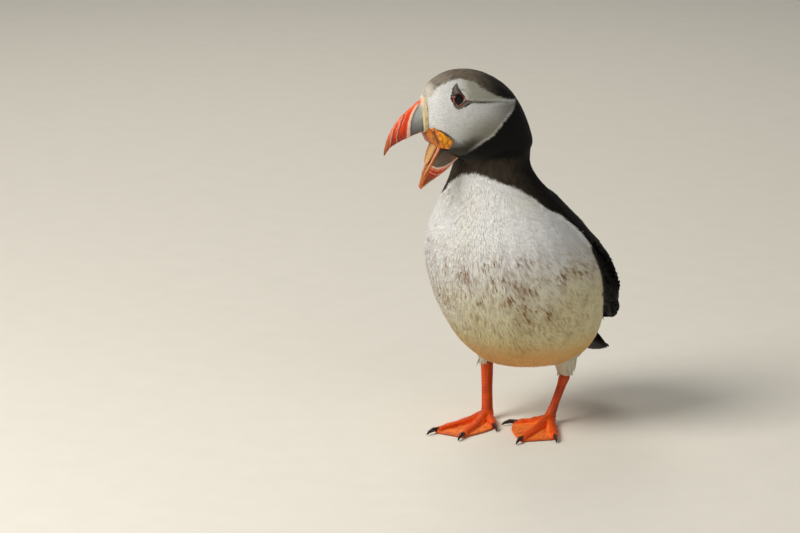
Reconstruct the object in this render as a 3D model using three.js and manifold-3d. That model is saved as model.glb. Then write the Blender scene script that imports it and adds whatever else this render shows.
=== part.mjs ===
// Atlantic puffin, adult in breeding plumage, life size: it stands on both feet with its head turned to
// its right and its bill open. Millimetres, +Z up. The bird's breast faces -Y and its left side is +X.
import * as THREE from "three";
import { LoftGeometry } from "three/addons/geometries/LoftGeometry.js";
import { mergeVertices } from "three/addons/utils/BufferGeometryUtils.js";
import Module from "manifold-3d";

// ---- Driving dimensions -------------------------------------------------------------------------------

const GAP = 0.3; // clearance kept between neighbouring solids
const LEFT = 1;
const RIGHT = -1;
const SIDES = [
  ["left", LEFT],
  ["right", RIGHT],
];

const HEAD_TURN = THREE.MathUtils.degToRad(-30); // the head looks 30 degrees to the bird's right
const HEAD_AXIS = new THREE.Vector3(-6, -40, 0); // the plumb line through the middle of the head

const EYE_RADIUS = 4.7;
const EYE_CENTRE = { forward: 13.7, side: 11, height: 198.3 };

const COLLAR_HEIGHT = 141; // where the neck meets the trunk
const CHIN_HEIGHT = 163; // where the head meets the neck, under the chin
const HEAD_CUT_TILT = THREE.MathUtils.degToRad(12); // the head's cut rises from the chin to the nape

const WING_THICKNESS = 8.5; // at the folded flight feathers
const WING_EDGE = 1.4; // at its leading edge
const WING_MIDLINE = 2; // each wing stops this far from the middle of the back
const WING_REACH = 80; // wider than half the bird

const TOE_RADIUS = 2.3;
const WEB_BOTTOM = 0.5; // the web is held just off the floor
const WEB_THICKNESS = 0.9;
const WEB_REACH = 0.8; // the web runs this far past the root of each claw
const CLAW_LENGTH = 7.5;

// ---- Solids: closed surfaces that are joined and cut as bodies -----------------------------------------

const wasm = await Module();
wasm.setup();

// A closed surface as a solid body.
function solid(geometry) {
  const bare = new THREE.BufferGeometry();
  bare.setAttribute("position", geometry.attributes.position);
  bare.setIndex(geometry.index);
  const merged = mergeVertices(bare, 1e-4);
  return new wasm.Manifold(
    new wasm.Mesh({
      numProp: 3,
      vertProperties: merged.attributes.position.array,
      triVerts: new Uint32Array(merged.index.array),
    }),
  );
}

function geometryOf(shape) {
  const { vertProperties, triVerts, numProp, numVert } = shape.getMesh();
  const points = new Float32Array(numVert * 3);
  for (let i = 0; i < numVert; i++) {
    points.set(vertProperties.subarray(i * numProp, i * numProp + 3), i * 3);
  }
  const geometry = new THREE.BufferGeometry();
  geometry.setAttribute("position", new THREE.BufferAttribute(points, 3));
  geometry.setIndex(new THREE.BufferAttribute(triVerts, 1));
  geometry.computeVertexNormals();
  return geometry;
}

function joined(shapes) {
  return shapes.reduce((whole, shape) => whole.add(shape));
}

function cutBy(shape, cutters) {
  return cutters.reduce((rest, cutter) => rest.subtract(cutter), shape);
}

// Skins a row of rings, given from start to end, and closes both ends.
function loft(rings) {
  return new LoftGeometry(rings, { capStart: true, capEnd: true });
}

// Reads named values off a smooth curve through stations that are sorted by their `at`.
function smoothThrough(stations) {
  const names = Object.keys(stations[0]).filter((name) => name !== "at");
  const curve = new THREE.CubicInterpolant(
    stations.map((station) => station.at),
    stations.flatMap((station) => names.map((name) => station[name])),
    names.length,
  );
  return (at) => {
    const values = curve.evaluate(at);
    return Object.fromEntries(names.map((name, i) => [name, values[i]]));
  };
}

// Places along stations, with `steps` to each interval.
function stepsThrough(stations, steps) {
  const places = [];
  stations.slice(1).forEach((next, i) => {
    for (let step = 0; step < steps; step++) {
      places.push(THREE.MathUtils.lerp(stations[i].at, next.at, step / steps));
    }
  });
  places.push(stations.at(-1).at);
  return places;
}

function circle(sides, pointAt) {
  return Array.from({ length: sides }, (_, i) => pointAt((i / sides) * 2 * Math.PI));
}

// A tapered rod with oval rings along a path of stations with x, y, z, across and deep: half widths.
function rod(stations, { sides = 10, steps = 2, grow = 0, flatwise = new THREE.Vector3(0, 0, 1) } = {}) {
  const path = stations.map((station, i) => ({ ...station, at: i }));
  const read = smoothThrough(path);
  const places = stepsThrough(path, steps);
  const centre = (at) => {
    const { x, y, z } = read(at);
    return new THREE.Vector3(x, y, z);
  };
  const last = places.length - 1;
  const rings = places.map((at, i) => {
    const before = centre(Math.max(at - 0.1, 0));
    const after = centre(Math.min(at + 0.1, path.length - 1));
    const way = after.sub(before).normalize();
    const side = new THREE.Vector3().crossVectors(flatwise, way).normalize();
    const up = new THREE.Vector3().crossVectors(way, side);
    const { across, deep } = read(at);
    const end = i === 0 ? -grow : i === last ? grow : 0;
    return circle(sides, (angle) =>
      centre(at)
        .addScaledVector(way, end)
        .addScaledVector(side, (across + grow) * Math.cos(angle))
        .addScaledVector(up, (deep + grow) * Math.sin(angle)),
    );
  });
  return solid(loft(rings));
}

// ---- Torso: level rings from the belly up into the neck ------------------------------------------------

const TORSO = [
  { at: 33, front: 8, back: 23, halfWidth: 6, shift: 0 },
  { at: 34.5, front: -4, back: 35, halfWidth: 16, shift: 0 },
  { at: 38, front: -15, back: 44.5, halfWidth: 26, shift: 0 },
  { at: 45, front: -26, back: 50.5, halfWidth: 35.5, shift: 0 },
  { at: 57, front: -36.5, back: 53.5, halfWidth: 43, shift: 0 },
  { at: 72, front: -45, back: 52.5, halfWidth: 48.5, shift: 0 },
  { at: 87, front: -50.5, back: 48, halfWidth: 51, shift: 0 },
  { at: 102, front: -54, back: 39.5, halfWidth: 51, shift: 0 },
  { at: 116, front: -53.5, back: 28.5, halfWidth: 47, shift: 0 },
  { at: 128, front: -50.5, back: 17.5, halfWidth: 40, shift: 0 },
  { at: 138, front: -48, back: 9, halfWidth: 33.5, shift: -0.5 },
  { at: 147, front: -47, back: 1.5, halfWidth: 27, shift: -1.2 },
  { at: 156, front: -45.5, back: -1.8, halfWidth: 22.3, shift: -2.2 },
  { at: 165, front: -42, back: -2.5, halfWidth: 19.6, shift: -2 },
  { at: 175, front: -38, back: -7, halfWidth: 15, shift: 0.5 },
  { at: 183, front: -34, back: -15, halfWidth: 8.5, shift: 1 },
];
const TORSO_SIDES = 28;
const readTorso = smoothThrough(TORSO);

// `round` runs from 0 at the breast, past a quarter turn at the bird's left, to a half turn at the back.
function torsoPoint(height, round, grow) {
  const { front, back, halfWidth, shift } = readTorso(height);
  const middle = (front + back) / 2;
  const reach = (back - front) / 2;
  return new THREE.Vector3(
    shift + (halfWidth + grow) * Math.sin(round),
    middle - (reach + grow) * Math.cos(round),
    height,
  );
}

// The torso, grown outwards by a number or by a function of height and round.
function torso(grow) {
  const growth = typeof grow === "function" ? grow : () => grow;
  const rings = stepsThrough(TORSO, 2).map((height, i, all) => {
    const lift = i === 0 ? -growth(height, 0) : i === all.length - 1 ? growth(height, 0) : 0;
    return circle(TORSO_SIDES, (round) => {
      const point = torsoPoint(height, round, growth(height, round));
      point.z += lift;
      return point;
    });
  });
  return solid(loft(rings));
}

// ---- Head: rings across its own forward axis -----------------------------------------------------------

// Rings are set by how far forward of the plumb line they are.
const HEAD = [
  { at: -36.1, bottom: 168, top: 172.5, halfWidth: 4.5 },
  { at: -34, bottom: 164.5, top: 179, halfWidth: 9 },
  { at: -29.9, bottom: 160.5, top: 189, halfWidth: 13.5 },
  { at: -23.4, bottom: 160, top: 199.4, halfWidth: 16.8 },
  { at: -14, bottom: 159.5, top: 206.9, halfWidth: 19.3 },
  { at: -3, bottom: 159.5, top: 211.6, halfWidth: 20 },
  { at: 7, bottom: 161, top: 212.8, halfWidth: 19 },
  { at: 15, bottom: 165, top: 211.6, halfWidth: 16.4 },
  { at: 21, bottom: 170, top: 209, halfWidth: 12.8 },
  { at: 25.5, bottom: 174.5, top: 205.4, halfWidth: 9.3 },
  { at: 28.3, bottom: 179, top: 200.5, halfWidth: 6.8 },
];
const HEAD_SIDES = 20;

// The head's own frame: x to the bird's left, y backwards, z up.
const headFrame = new THREE.Matrix4().makeRotationZ(HEAD_TURN).setPosition(HEAD_AXIS);

function inHead({ side, forward, height }) {
  return new THREE.Vector3(side, -forward, height).applyMatrix4(headFrame);
}

// A station of a rod that lies in the head's frame.
function headStation(spot, across, deep) {
  const { x, y, z } = inHead(spot);
  return { x, y, z, across, deep };
}

function head() {
  const read = smoothThrough(HEAD);
  const rings = stepsThrough(HEAD, 2).map((forward) => {
    const { bottom, top, halfWidth } = read(forward);
    const middle = (bottom + top) / 2;
    return circle(HEAD_SIDES, (angle) =>
      inHead({
        side: halfWidth * Math.cos(angle),
        forward,
        height: middle + ((top - bottom) / 2) * Math.sin(angle),
      }),
    );
  });
  return solid(loft(rings));
}

// ---- Bill: two blades that are thin from side to side --------------------------------------------------

// A blade is skinned from rings between its upper and lower edge, each a row of the profile.
function blade(profile, grow, topWidth, bottomWidth) {
  const read = smoothThrough(profile);
  const last = profile.at(-1).at;
  const rings = stepsThrough(profile, 2).map((at) => {
    const row = read(at);
    const end = at === profile[0].at ? -grow : at === last ? grow : 0;
    const upper = new THREE.Vector2(row.upForward, row.upHeight);
    const lower = new THREE.Vector2(row.downForward, row.downHeight);
    const span = upper.clone().sub(lower);
    const half = span.length() / 2 + grow;
    const axis = span.clone().normalize();
    const ahead = new THREE.Vector2(axis.y, -axis.x);
    const middle = upper.clone().add(lower).multiplyScalar(0.5).addScaledVector(ahead, end);
    return circle(12, (angle) => {
      const rise = Math.sin(angle);
      const across = THREE.MathUtils.lerp(bottomWidth, topWidth, (rise + 1) / 2);
      const place = middle.clone().addScaledVector(axis, half * rise);
      return inHead({
        side: (row.halfWidth * across + grow) * Math.cos(angle),
        forward: place.x,
        height: place.y,
      });
    });
  });
  return solid(loft(rings));
}

const UPPER_BILL = [
  { at: 0, upForward: 21, upHeight: 200, downForward: 25.5, downHeight: 181, halfWidth: 6.4 },
  { at: 1, upForward: 26.4, upHeight: 199.3, downForward: 30, downHeight: 179, halfWidth: 6.2 },
  { at: 2, upForward: 34.5, upHeight: 194.6, downForward: 35.5, downHeight: 177.4, halfWidth: 5.2 },
  { at: 3, upForward: 42.7, upHeight: 188.4, downForward: 41, downHeight: 175.6, halfWidth: 4.2 },
  { at: 4, upForward: 48.1, upHeight: 181.6, downForward: 45.6, downHeight: 173.6, halfWidth: 3 },
  { at: 5, upForward: 51.2, upHeight: 175, downForward: 49.3, downHeight: 171.6, halfWidth: 1.7 },
  { at: 6, upForward: 52.6, upHeight: 168.7, downForward: 52.1, downHeight: 167.7, halfWidth: 0.6 },
];

const LOWER_BILL = [
  { at: 0, upForward: 17, upHeight: 173, downForward: 3.5, downHeight: 165.5, halfWidth: 5.4 },
  { at: 1, upForward: 20.6, upHeight: 169.8, downForward: 8, downHeight: 162, halfWidth: 5.2 },
  { at: 2, upForward: 23.6, upHeight: 164.4, downForward: 13.5, downHeight: 156.8, halfWidth: 4.6 },
  { at: 3, upForward: 26.6, upHeight: 159.2, downForward: 19, downHeight: 153.2, halfWidth: 3.6 },
  { at: 4, upForward: 29.1, upHeight: 154.4, downForward: 24.6, downHeight: 150, halfWidth: 2.3 },
  { at: 5, upForward: 31, upHeight: 148.6, downForward: 30, downHeight: 146.6, halfWidth: 0.8 },
];

const upperBill = (grow) => blade(UPPER_BILL, grow, 0.55, 1.1);
const lowerBill = (grow) => blade(LOWER_BILL, grow, 1.1, 0.6);

// The tongue lies along the lower bill's upper edge.
function tongue(grow) {
  return rod(
    [
      headStation({ forward: 18, side: 0, height: 177 }, 2.4, 2.2),
      headStation({ forward: 22.6, side: 0, height: 171 }, 2.4, 1.8),
      headStation({ forward: 25.3, side: 0, height: 165.4 }, 2, 1.3),
      headStation({ forward: 27, side: 0, height: 161.4 }, 1, 0.6),
    ],
    { sides: 8, grow, flatwise: new THREE.Vector3(0, 0, -1) },
  );
}

// ---- Head fittings -------------------------------------------------------------------------------------

function eye(way, grow) {
  const { x, y, z } = inHead({ ...EYE_CENTRE, side: way * EYE_CENTRE.side });
  return solid(new THREE.SphereGeometry(EYE_RADIUS + grow, 12, 8).translate(x, y, z));
}

// The wrinkled rosette of bare skin at the corner of the mouth: a lobe with an arm up to the bill's base.
function rosette(way, grow) {
  const flatwise = new THREE.Vector3(Math.cos(HEAD_TURN), Math.sin(HEAD_TURN), 0);
  return rod(
    [
      headStation({ forward: 28.6, side: way * 6.6, height: 181.4 }, 1.4, 1.4),
      headStation({ forward: 24.4, side: way * 8.4, height: 178.6 }, 2.4, 2),
      headStation({ forward: 19.5, side: way * 9.8, height: 174.6 }, 4.2, 2.4),
      headStation({ forward: 16, side: way * 10.6, height: 171.8 }, 2.6, 1.6),
    ],
    { sides: 8, flatwise, grow },
  );
}

// ---- Legs ----------------------------------------------------------------------------------------------

// Each leg by where its ankle and toe joint are, and the way each toe points: degrees from straight ahead,
// positive to the bird's left.
const LEGS = {
  left: {
    hip: [18, 22, 50],
    ankle: [21, 18, 26.5],
    joint: [16.5, 9, 4.2],
    toes: { inner: [-47, 20], middle: [10, 40], outer: [39, 32] },
  },
  right: {
    hip: [-24, 10, 50],
    ankle: [-23, 4, 31],
    joint: [-18, -3, 4.2],
    toes: { inner: [45, 20], middle: [14, 41], outer: [-11, 41] },
  },
};

const station = ([x, y, z], across, deep) => ({ x, y, z, across, deep });

function thigh({ hip, ankle }, grow) {
  const knee = hip.map((value, i) => (value + ankle[i]) / 2);
  const stations = [station(hip, 13, 15), station(knee, 8.5, 10.5), station(ankle, 4.2, 5.2)];
  return rod(stations, { grow });
}

function shank({ ankle, joint }, grow) {
  const top = [ankle[0], ankle[1], ankle[2] + 5];
  const middle = ankle.map((value, i) => (value + joint[i]) / 2);
  const stations = [
    station(top, 3, 3.6),
    station(ankle, 3.4, 4.3),
    station(middle, 3, 3.7),
    station(joint, 3.2, 3.8),
  ];
  return rod(stations, { grow, flatwise: new THREE.Vector3(0, 1, 0) });
}

function toeTip({ joint }, [turn, length]) {
  const angle = THREE.MathUtils.degToRad(turn);
  return [joint[0] + length * Math.sin(angle), joint[1] - length * Math.cos(angle), 0];
}

function toe(leg, aim) {
  const [x, y] = toeTip(leg, aim);
  const [fromX, fromY, fromZ] = leg.joint;
  const along = (share, height, across, deep) =>
    station([fromX + (x - fromX) * share, fromY + (y - fromY) * share, height], across, deep);
  return rod(
    [
      along(0, fromZ - 0.6, 2.9, 2.9),
      along(0.3, 2.2, TOE_RADIUS, 2.2),
      along(0.7, 1.6, TOE_RADIUS * 0.85, 1.7),
      along(1, 1.4, TOE_RADIUS * 0.7, 1.5),
    ],
    { sides: 8, steps: 1 },
  );
}

// A hooked claw that starts inside its toe's end and points down to the floor.
function claw(leg, [turn, length], grow) {
  const reach = (extra, height, across, deep) => {
    const [x, y] = toeTip(leg, [turn, length + extra]);
    return station([x, y, height], across, deep);
  };
  return rod(
    [
      reach(-2, 2.1, 1.1, 1.3),
      reach(CLAW_LENGTH * 0.35, 2.6, 1.1, 1.35),
      reach(CLAW_LENGTH * 0.75, 1.9, 0.7, 0.9),
      reach(CLAW_LENGTH, 0.75, 0.3, 0.35),
    ],
    { sides: 6, steps: 1, grow },
  );
}

// The web spans the toes, with an edge that swells a little between their tips.
function web(leg) {
  const { inner, middle, outer } = leg.toes;
  const swell = (a, b) => toeTip(leg, [(a[0] + b[0]) / 2, (a[1] + b[1]) / 2]);
  const tip = ([turn, length]) => toeTip(leg, [turn, length + WEB_REACH]);
  const [jointX, jointY] = leg.joint;
  const outline = new THREE.Shape();
  outline.moveTo(jointX, jointY);
  const [startX, startY] = tip(inner);
  outline.lineTo(startX, startY);
  for (const [from, to] of [
    [inner, middle],
    [middle, outer],
  ]) {
    const [swellX, swellY] = swell(from, to);
    const [x, y] = tip(to);
    outline.quadraticCurveTo(swellX, swellY, x, y);
  }
  const geometry = new THREE.ExtrudeGeometry(outline, {
    depth: WEB_THICKNESS,
    bevelEnabled: false,
    curveSegments: 6,
  });
  geometry.translate(0, 0, WEB_BOTTOM);
  return solid(geometry);
}

// The ball of the foot, and all that is under the floor cut away so that the pads are flat.
function foot(leg) {
  const [x, y] = leg.joint;
  const stations = [
    station([x, y + 3.2, 2.6], 2.2, 2.2),
    station([x, y, 2.8], 3.6, 3),
    station([x, y - 4, 2.4], 3, 2.4),
  ];
  const pad = rod(stations, { steps: 1 });
  const toes = Object.values(leg.toes);
  const whole = joined([pad, web(leg), ...toes.map((aim) => toe(leg, aim))]);
  const underFloor = new THREE.BoxGeometry(400, 400, 20).translate(0, 0, -10);
  return cutBy(whole, [solid(underFloor), shank(leg, GAP), ...toes.map((aim) => claw(leg, aim, GAP))]);
}

// ---- Tail and wings ------------------------------------------------------------------------------------

const tail = (grow) =>
  rod(
    [
      station([0, 30, 64], 20, 15),
      station([0, 48, 53], 18.5, 10),
      station([0, 61, 43], 15, 5.5),
      station([0, 72, 34], 13.5, 2.4),
      station([0, 80, 28], 8.5, 1.2),
    ],
    { sides: 14, grow },
  );

// The folded wing as seen from the side: its lower edge runs from the shoulder to the tip, and its upper
// edge comes back along the spine.
function wingOutline() {
  const shape = new THREE.Shape();
  shape.moveTo(-20, 136);
  shape.splineThru(
    [
      [-16, 129],
      [-6, 121],
      [8, 108],
      [24, 92],
      [40, 70],
      [54, 54],
    ].map(([y, z]) => new THREE.Vector2(y, z)),
  );
  shape.lineTo(80, 66);
  shape.lineTo(80, 140);
  shape.lineTo(-14, 140);
  return shape;
}

// The wing swells towards the folded flight feathers from its leading edge, the shoulder, the middle of
// the back and its lower end.
function wingGrowth(height, round) {
  const fromBreast = Math.abs(Math.atan2(Math.sin(round), Math.cos(round)));
  const { smoothstep, lerp } = THREE.MathUtils;
  const behind = smoothstep(fromBreast, 1.2, 2.2) * (1 - 0.7 * smoothstep(fromBreast, 2.4, Math.PI));
  const below = (1 - smoothstep(height, 80, 138)) * smoothstep(height, 40, 68);
  return lerp(WING_EDGE, WING_THICKNESS, behind * below);
}

function wing(way) {
  const outline = new THREE.ExtrudeGeometry(wingOutline(), {
    depth: WING_REACH,
    bevelEnabled: false,
    curveSegments: 4,
  });
  // Turns the outline's (x, y, depth) into the bird's (y, z, x).
  outline.applyMatrix4(
    new THREE.Matrix4().makeBasis(
      new THREE.Vector3(0, 1, 0),
      new THREE.Vector3(0, 0, 1),
      new THREE.Vector3(1, 0, 0),
    ),
  );
  outline.translate(way === LEFT ? WING_MIDLINE : -WING_MIDLINE - WING_REACH, 0, 0);
  const shell = torso(wingGrowth).intersect(solid(outline));
  const tip = rod(
    [
      station([way * 38, 19, 91], 5, 2),
      station([way * 39.5, 34, 78], 11, 4),
      station([way * 31.5, 48, 66], 10, 3.4),
      station([way * 23, 59, 57.5], 6.5, 2.4),
      station([way * 14, 66.5, 52], 2.5, 1.2),
    ],
    { flatwise: new THREE.Vector3(way * 0.6, 0.5, 0.6) },
  );
  return cutBy(joined([shell, tip]), [torso(GAP), tail(GAP)]);
}

// ---- Assembly ------------------------------------------------------------------------------------------

const finish = (color, roughness) => new THREE.MeshStandardMaterial({ color, roughness, metalness: 0 });
const blackPlumage = finish("#1c1a19", 0.85);
const whitePlumage = finish("#dcdad2", 0.85);
const greyPlumage = finish("#c3c3bd", 0.85);
const redHorn = finish("#d9452a", 0.4);
const orangeSkin = finish("#e2571c", 0.55);
const yellowSkin = finish("#f0a01c", 0.6);
const pinkSkin = finish("#e08a5c", 0.45);
const darkClaw = finish("#2b2320", 0.4);
const darkEye = finish("#140e0c", 0.1);

const puffin = new THREE.Group();

function add(name, shape, material) {
  const mesh = new THREE.Mesh(geometryOf(shape), material);
  mesh.name = name;
  puffin.add(mesh);
}

// Big blocks that keep what is above or below a sloping cut.
function above(height, tilt, clearance) {
  const block = new THREE.BoxGeometry(400, 400, 400).translate(0, 0, 200 + clearance);
  block.rotateX(tilt);
  block.translate(HEAD_AXIS.x, HEAD_AXIS.y, height);
  return solid(block);
}

const headCut = (clearance) => above(CHIN_HEIGHT, HEAD_CUT_TILT, clearance);
const neckCut = (clearance) => above(COLLAR_HEIGHT, 0, clearance);
const legs = SIDES.map(([name]) => [name, LEGS[name]]);

const body = joined([torso(0), head()]);
const headFittings = [
  upperBill(GAP),
  lowerBill(GAP),
  tongue(GAP),
  ...SIDES.flatMap(([, way]) => [eye(way, GAP), rosette(way, GAP)]),
];
add("head", cutBy(body.intersect(headCut(GAP / 2)), headFittings), greyPlumage);
add("neck", cutBy(body, [headCut(-GAP / 2)]).intersect(neckCut(GAP / 2)), blackPlumage);
add("trunk", cutBy(body, [neckCut(-GAP / 2)]), whitePlumage);
add("bill_upper", upperBill(0), redHorn);
add("bill_lower", cutBy(lowerBill(0), SIDES.map(([, way]) => rosette(way, GAP))), redHorn);
add("tongue", cutBy(tongue(0), [upperBill(GAP), lowerBill(GAP)]), pinkSkin);
for (const [name, way] of SIDES) {
  add(`eye_${name}`, eye(way, 0), darkEye);
  add(`rosette_${name}`, cutBy(rosette(way, 0), [upperBill(GAP)]), yellowSkin);
}

add("tail", cutBy(tail(0), [torso(GAP)]), blackPlumage);
SIDES.forEach(([name, way]) => add(`wing_${name}`, wing(way), blackPlumage));
for (const [name, leg] of legs) {
  add(`thigh_${name}`, cutBy(thigh(leg, 0), [torso(GAP), shank(leg, GAP)]), whitePlumage);
  add(`shank_${name}`, cutBy(shank(leg, 0), [torso(GAP)]), orangeSkin);
  add(`foot_${name}`, foot(leg), orangeSkin);
  for (const [toeName, aim] of Object.entries(leg.toes)) {
    add(`claw_${name}_${toeName}`, claw(leg, aim, 0), darkClaw);
  }
}

// The origin is on the floor, under the middle of the whole bird.
const extent = new THREE.Box3().setFromObject(puffin);
const middle = extent.getCenter(new THREE.Vector3());
puffin.children.forEach((mesh) => mesh.position.set(-middle.x, -middle.y, -extent.min.z));

export default puffin;
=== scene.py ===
# Atlantic puffin, life size: the finished surfaces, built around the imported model.
import math

import bmesh
import bpy
import numpy as np
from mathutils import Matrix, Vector
from mathutils.bvhtree import BVHTree


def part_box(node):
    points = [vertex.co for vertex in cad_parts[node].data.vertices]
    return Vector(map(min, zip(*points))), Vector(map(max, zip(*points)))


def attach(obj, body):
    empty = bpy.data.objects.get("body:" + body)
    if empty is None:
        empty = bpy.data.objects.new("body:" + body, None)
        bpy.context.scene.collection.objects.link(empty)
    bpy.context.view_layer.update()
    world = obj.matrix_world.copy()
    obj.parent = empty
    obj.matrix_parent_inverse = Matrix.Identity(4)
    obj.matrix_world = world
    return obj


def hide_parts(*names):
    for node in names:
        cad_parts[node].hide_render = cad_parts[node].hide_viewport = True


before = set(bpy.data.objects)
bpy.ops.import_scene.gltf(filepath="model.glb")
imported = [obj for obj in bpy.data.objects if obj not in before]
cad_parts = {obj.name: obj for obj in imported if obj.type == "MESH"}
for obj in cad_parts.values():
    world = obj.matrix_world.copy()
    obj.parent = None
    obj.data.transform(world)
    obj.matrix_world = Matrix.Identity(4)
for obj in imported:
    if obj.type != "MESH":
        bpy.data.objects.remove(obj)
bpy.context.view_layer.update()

# ---- Studio --------------------------------------------------------------------------------------------
# A matt pale floor under three soft boxes: a large one high on the left, a weak one on the right and one
# behind that draws a light edge round the crown. The camera stands 2.2 m away and a little above the bird.
MM = 0.001
FLOOR_SIZE = 14
PAPER_FIBRE = 20 * MM
CAMERA_TURN = math.radians(35)
CAMERA_RISE = math.radians(14)
CAMERA_PLACE = (1.16637, -1.77927, 0.62299)
CAMERA_LENS = 174.24
SENSOR_WIDTH = 36.0
BIRD_MIDDLE = Vector((0, 0, 0.11))
# Each soft box: where it stands from the bird, how far, how wide, how strong, and its colour.
SOFT_BOXES = {
    "key_light": ((-0.45, -1.0, 0.95), 1.5, 0.75, 20, "#fff9ee"),
    "fill_light": ((1.6, -0.7, 0.5), 2.0, 1.4, 5, "#f4f2ee"),
    "edge_light": ((-1.0, 0.9, 1.2), 1.6, 0.7, 5, "#fff8ec"),
}
AIR_STRENGTH = 0.22


def linear(code):
    """A colour given as sRGB hex, as linear light."""
    parts = [int(code[at : at + 2], 16) / 255 for at in (1, 3, 5)]
    return np.array([c / 12.92 if c <= 0.04045 else ((c + 0.055) / 1.055) ** 2.4 for c in parts])


def rgba(code):
    return (*linear(code), 1.0)


def add_node(material, kind, inputs, **settings):
    """Adds a shader node. Each input takes a value or the output socket it is linked from."""
    tree = material.node_tree
    made = tree.nodes.new("ShaderNode" + kind)
    for name, value in settings.items():
        setattr(made, name, value)
    for place, value in inputs.items():
        if isinstance(value, bpy.types.NodeSocket):
            tree.links.new(value, made.inputs[place])
        else:
            made.inputs[place].default_value = value
    return made


def new_material(name):
    material = bpy.data.materials.new(name)
    material.use_nodes = True
    material.node_tree.nodes.clear()
    return material


def finish_with(material, inputs):
    """Ends a material with one Principled shader."""
    shader = add_node(material, "BsdfPrincipled", inputs)
    add_node(material, "OutputMaterial", {"Surface": shader.outputs["BSDF"]})
    return material


def paper_floor():
    """Matt seamless paper: near white, with a faint mottle of fibres."""
    material = new_material("seamless_paper")
    place = add_node(material, "TexCoord", {}).outputs["Object"]
    fibre = add_node(material, "TexNoise", {"Vector": place, "Scale": 1 / PAPER_FIBRE})
    shade = add_node(material, "ValToRGB", {"Fac": fibre.outputs["Fac"]})
    shade.color_ramp.elements[0].color = rgba("#eae8e2")
    shade.color_ramp.elements[1].color = rgba("#f0eee8")
    return finish_with(material, {"Base Color": shade.outputs["Color"], "Roughness": 0.9})


def add_object(name, data):
    made = bpy.data.objects.new(name, data)
    bpy.context.scene.collection.objects.link(made)
    return made


def soft_box(name, direction, distance, size, power, colour):
    light = bpy.data.lights.new(name, "AREA")
    light.shape = "SQUARE"
    light.size = size
    light.energy = power
    light.color = linear(colour)
    box = add_object(name, light)
    way = Vector(direction).normalized()
    box.location = BIRD_MIDDLE + way * distance
    box.rotation_euler = way.to_track_quat("Z", "Y").to_euler()


bpy.ops.mesh.primitive_plane_add(size=FLOOR_SIZE)
floor = bpy.context.object
floor.name = "studio_floor"
floor.data.materials.append(paper_floor())

camera = add_object("camera", bpy.data.cameras.new("camera"))
camera.data.lens = CAMERA_LENS
camera.data.sensor_width = SENSOR_WIDTH
camera.data.sensor_fit = "HORIZONTAL"
camera.location = CAMERA_PLACE
camera.rotation_euler = (math.pi / 2 - CAMERA_RISE, 0, CAMERA_TURN)
bpy.context.scene.camera = camera
bpy.context.scene.view_settings.view_transform = "Standard"

for light_name, light_settings in SOFT_BOXES.items():
    soft_box(light_name, *light_settings)
world = bpy.data.worlds.new("studio_air")
world.use_nodes = True
world.node_tree.nodes["Background"].inputs["Color"].default_value = rgba("#f3efe6")
world.node_tree.nodes["Background"].inputs["Strength"].default_value = AIR_STRENGTH
bpy.context.scene.world = world

# ---- Skin ----------------------------------------------------------------------------------------------
# The bird's body under its plumage: one closed surface over head, neck, trunk, thighs, wings and tail, with
# no seam between them. It lies inside the outline by the depth of the feathers, which grow out of it.
SKIN_VOXEL = 1.1
SKIN_GROWTH = 0.25
NAPE_HEIGHT = 161
NAPE_DENT_HEIGHT = 165.5
UP = np.array([0.0, 0.0, 1.0])
TRUNK_NODES = ("head", "neck", "trunk", "tail")
LIMB_NODES = ("wing_left", "wing_right", "thigh_left", "thigh_right")


def read_rows(items, name, width, kind=float):
    """One value of each vertex, edge, triangle or corner of a mesh, as rows of the given width."""
    flat = np.empty(len(items) * width, np.float32 if kind is float else np.int32)
    items.foreach_get(name, flat)
    return flat.reshape(-1, width).astype(kind)


def points_of(piece):
    return read_rows(piece.data.vertices, "co", 3) / MM


def normals_of(piece):
    return read_rows(piece.data.vertex_normals, "vector", 3)


def put_points(piece, points):
    piece.data.vertices.foreach_set("co", (points * MM).astype(np.float32).ravel())
    piece.data.update()


def middle_of(node):
    low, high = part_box(node)
    return np.array(low + high) / 2 / MM


def unit(vectors):
    return vectors / np.maximum(np.linalg.norm(vectors, axis=-1, keepdims=True), 1e-9)


def smooth_step(start, end, value):
    share = np.clip((value - start) / (end - start), 0, 1)
    return share * share * (3 - 2 * share)


def line_at(value, width):
    """1 where the value is nought, and fading to nothing over about twice the width."""
    return np.exp(-((value / width) ** 2))


# The head's own frame, in millimetres: ahead of its plumb line, out to the bird's left, and height.
EYE_AHEAD = 13.7
EYE_MIDDLE = (middle_of("eye_left") + middle_of("eye_right")) / 2
EYE_HEIGHT = EYE_MIDDLE[2]
HEAD_LEFT = unit(middle_of("eye_left") - middle_of("eye_right"))
HEAD_AHEAD = np.cross(HEAD_LEFT, UP)
HEAD_PLUMB = EYE_MIDDLE - EYE_AHEAD * HEAD_AHEAD - EYE_HEIGHT * UP


def in_head(points):
    away = points - HEAD_PLUMB
    return away @ HEAD_AHEAD, away @ HEAD_LEFT, away[..., 2]


def from_head(ahead, out, height):
    ahead, out, height = (np.asarray(value, float)[..., None] for value in (ahead, out, height))
    return HEAD_PLUMB + ahead * HEAD_AHEAD + out * HEAD_LEFT + height * UP


def copy_of(name, *node_names, grow):
    """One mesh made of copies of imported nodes, each grown outwards so that neighbours run into each other."""
    whole = bmesh.new()
    for node in node_names:
        whole.from_mesh(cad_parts[node].data)
    bmesh.ops.remove_doubles(whole, verts=whole.verts, dist=0.01 * MM)
    whole.normal_update()
    for vertex in whole.verts:
        vertex.co += vertex.normal * grow * MM
    mesh = bpy.data.meshes.new(name)
    whole.to_mesh(mesh)
    whole.free()
    return add_object(name, mesh)


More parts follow.
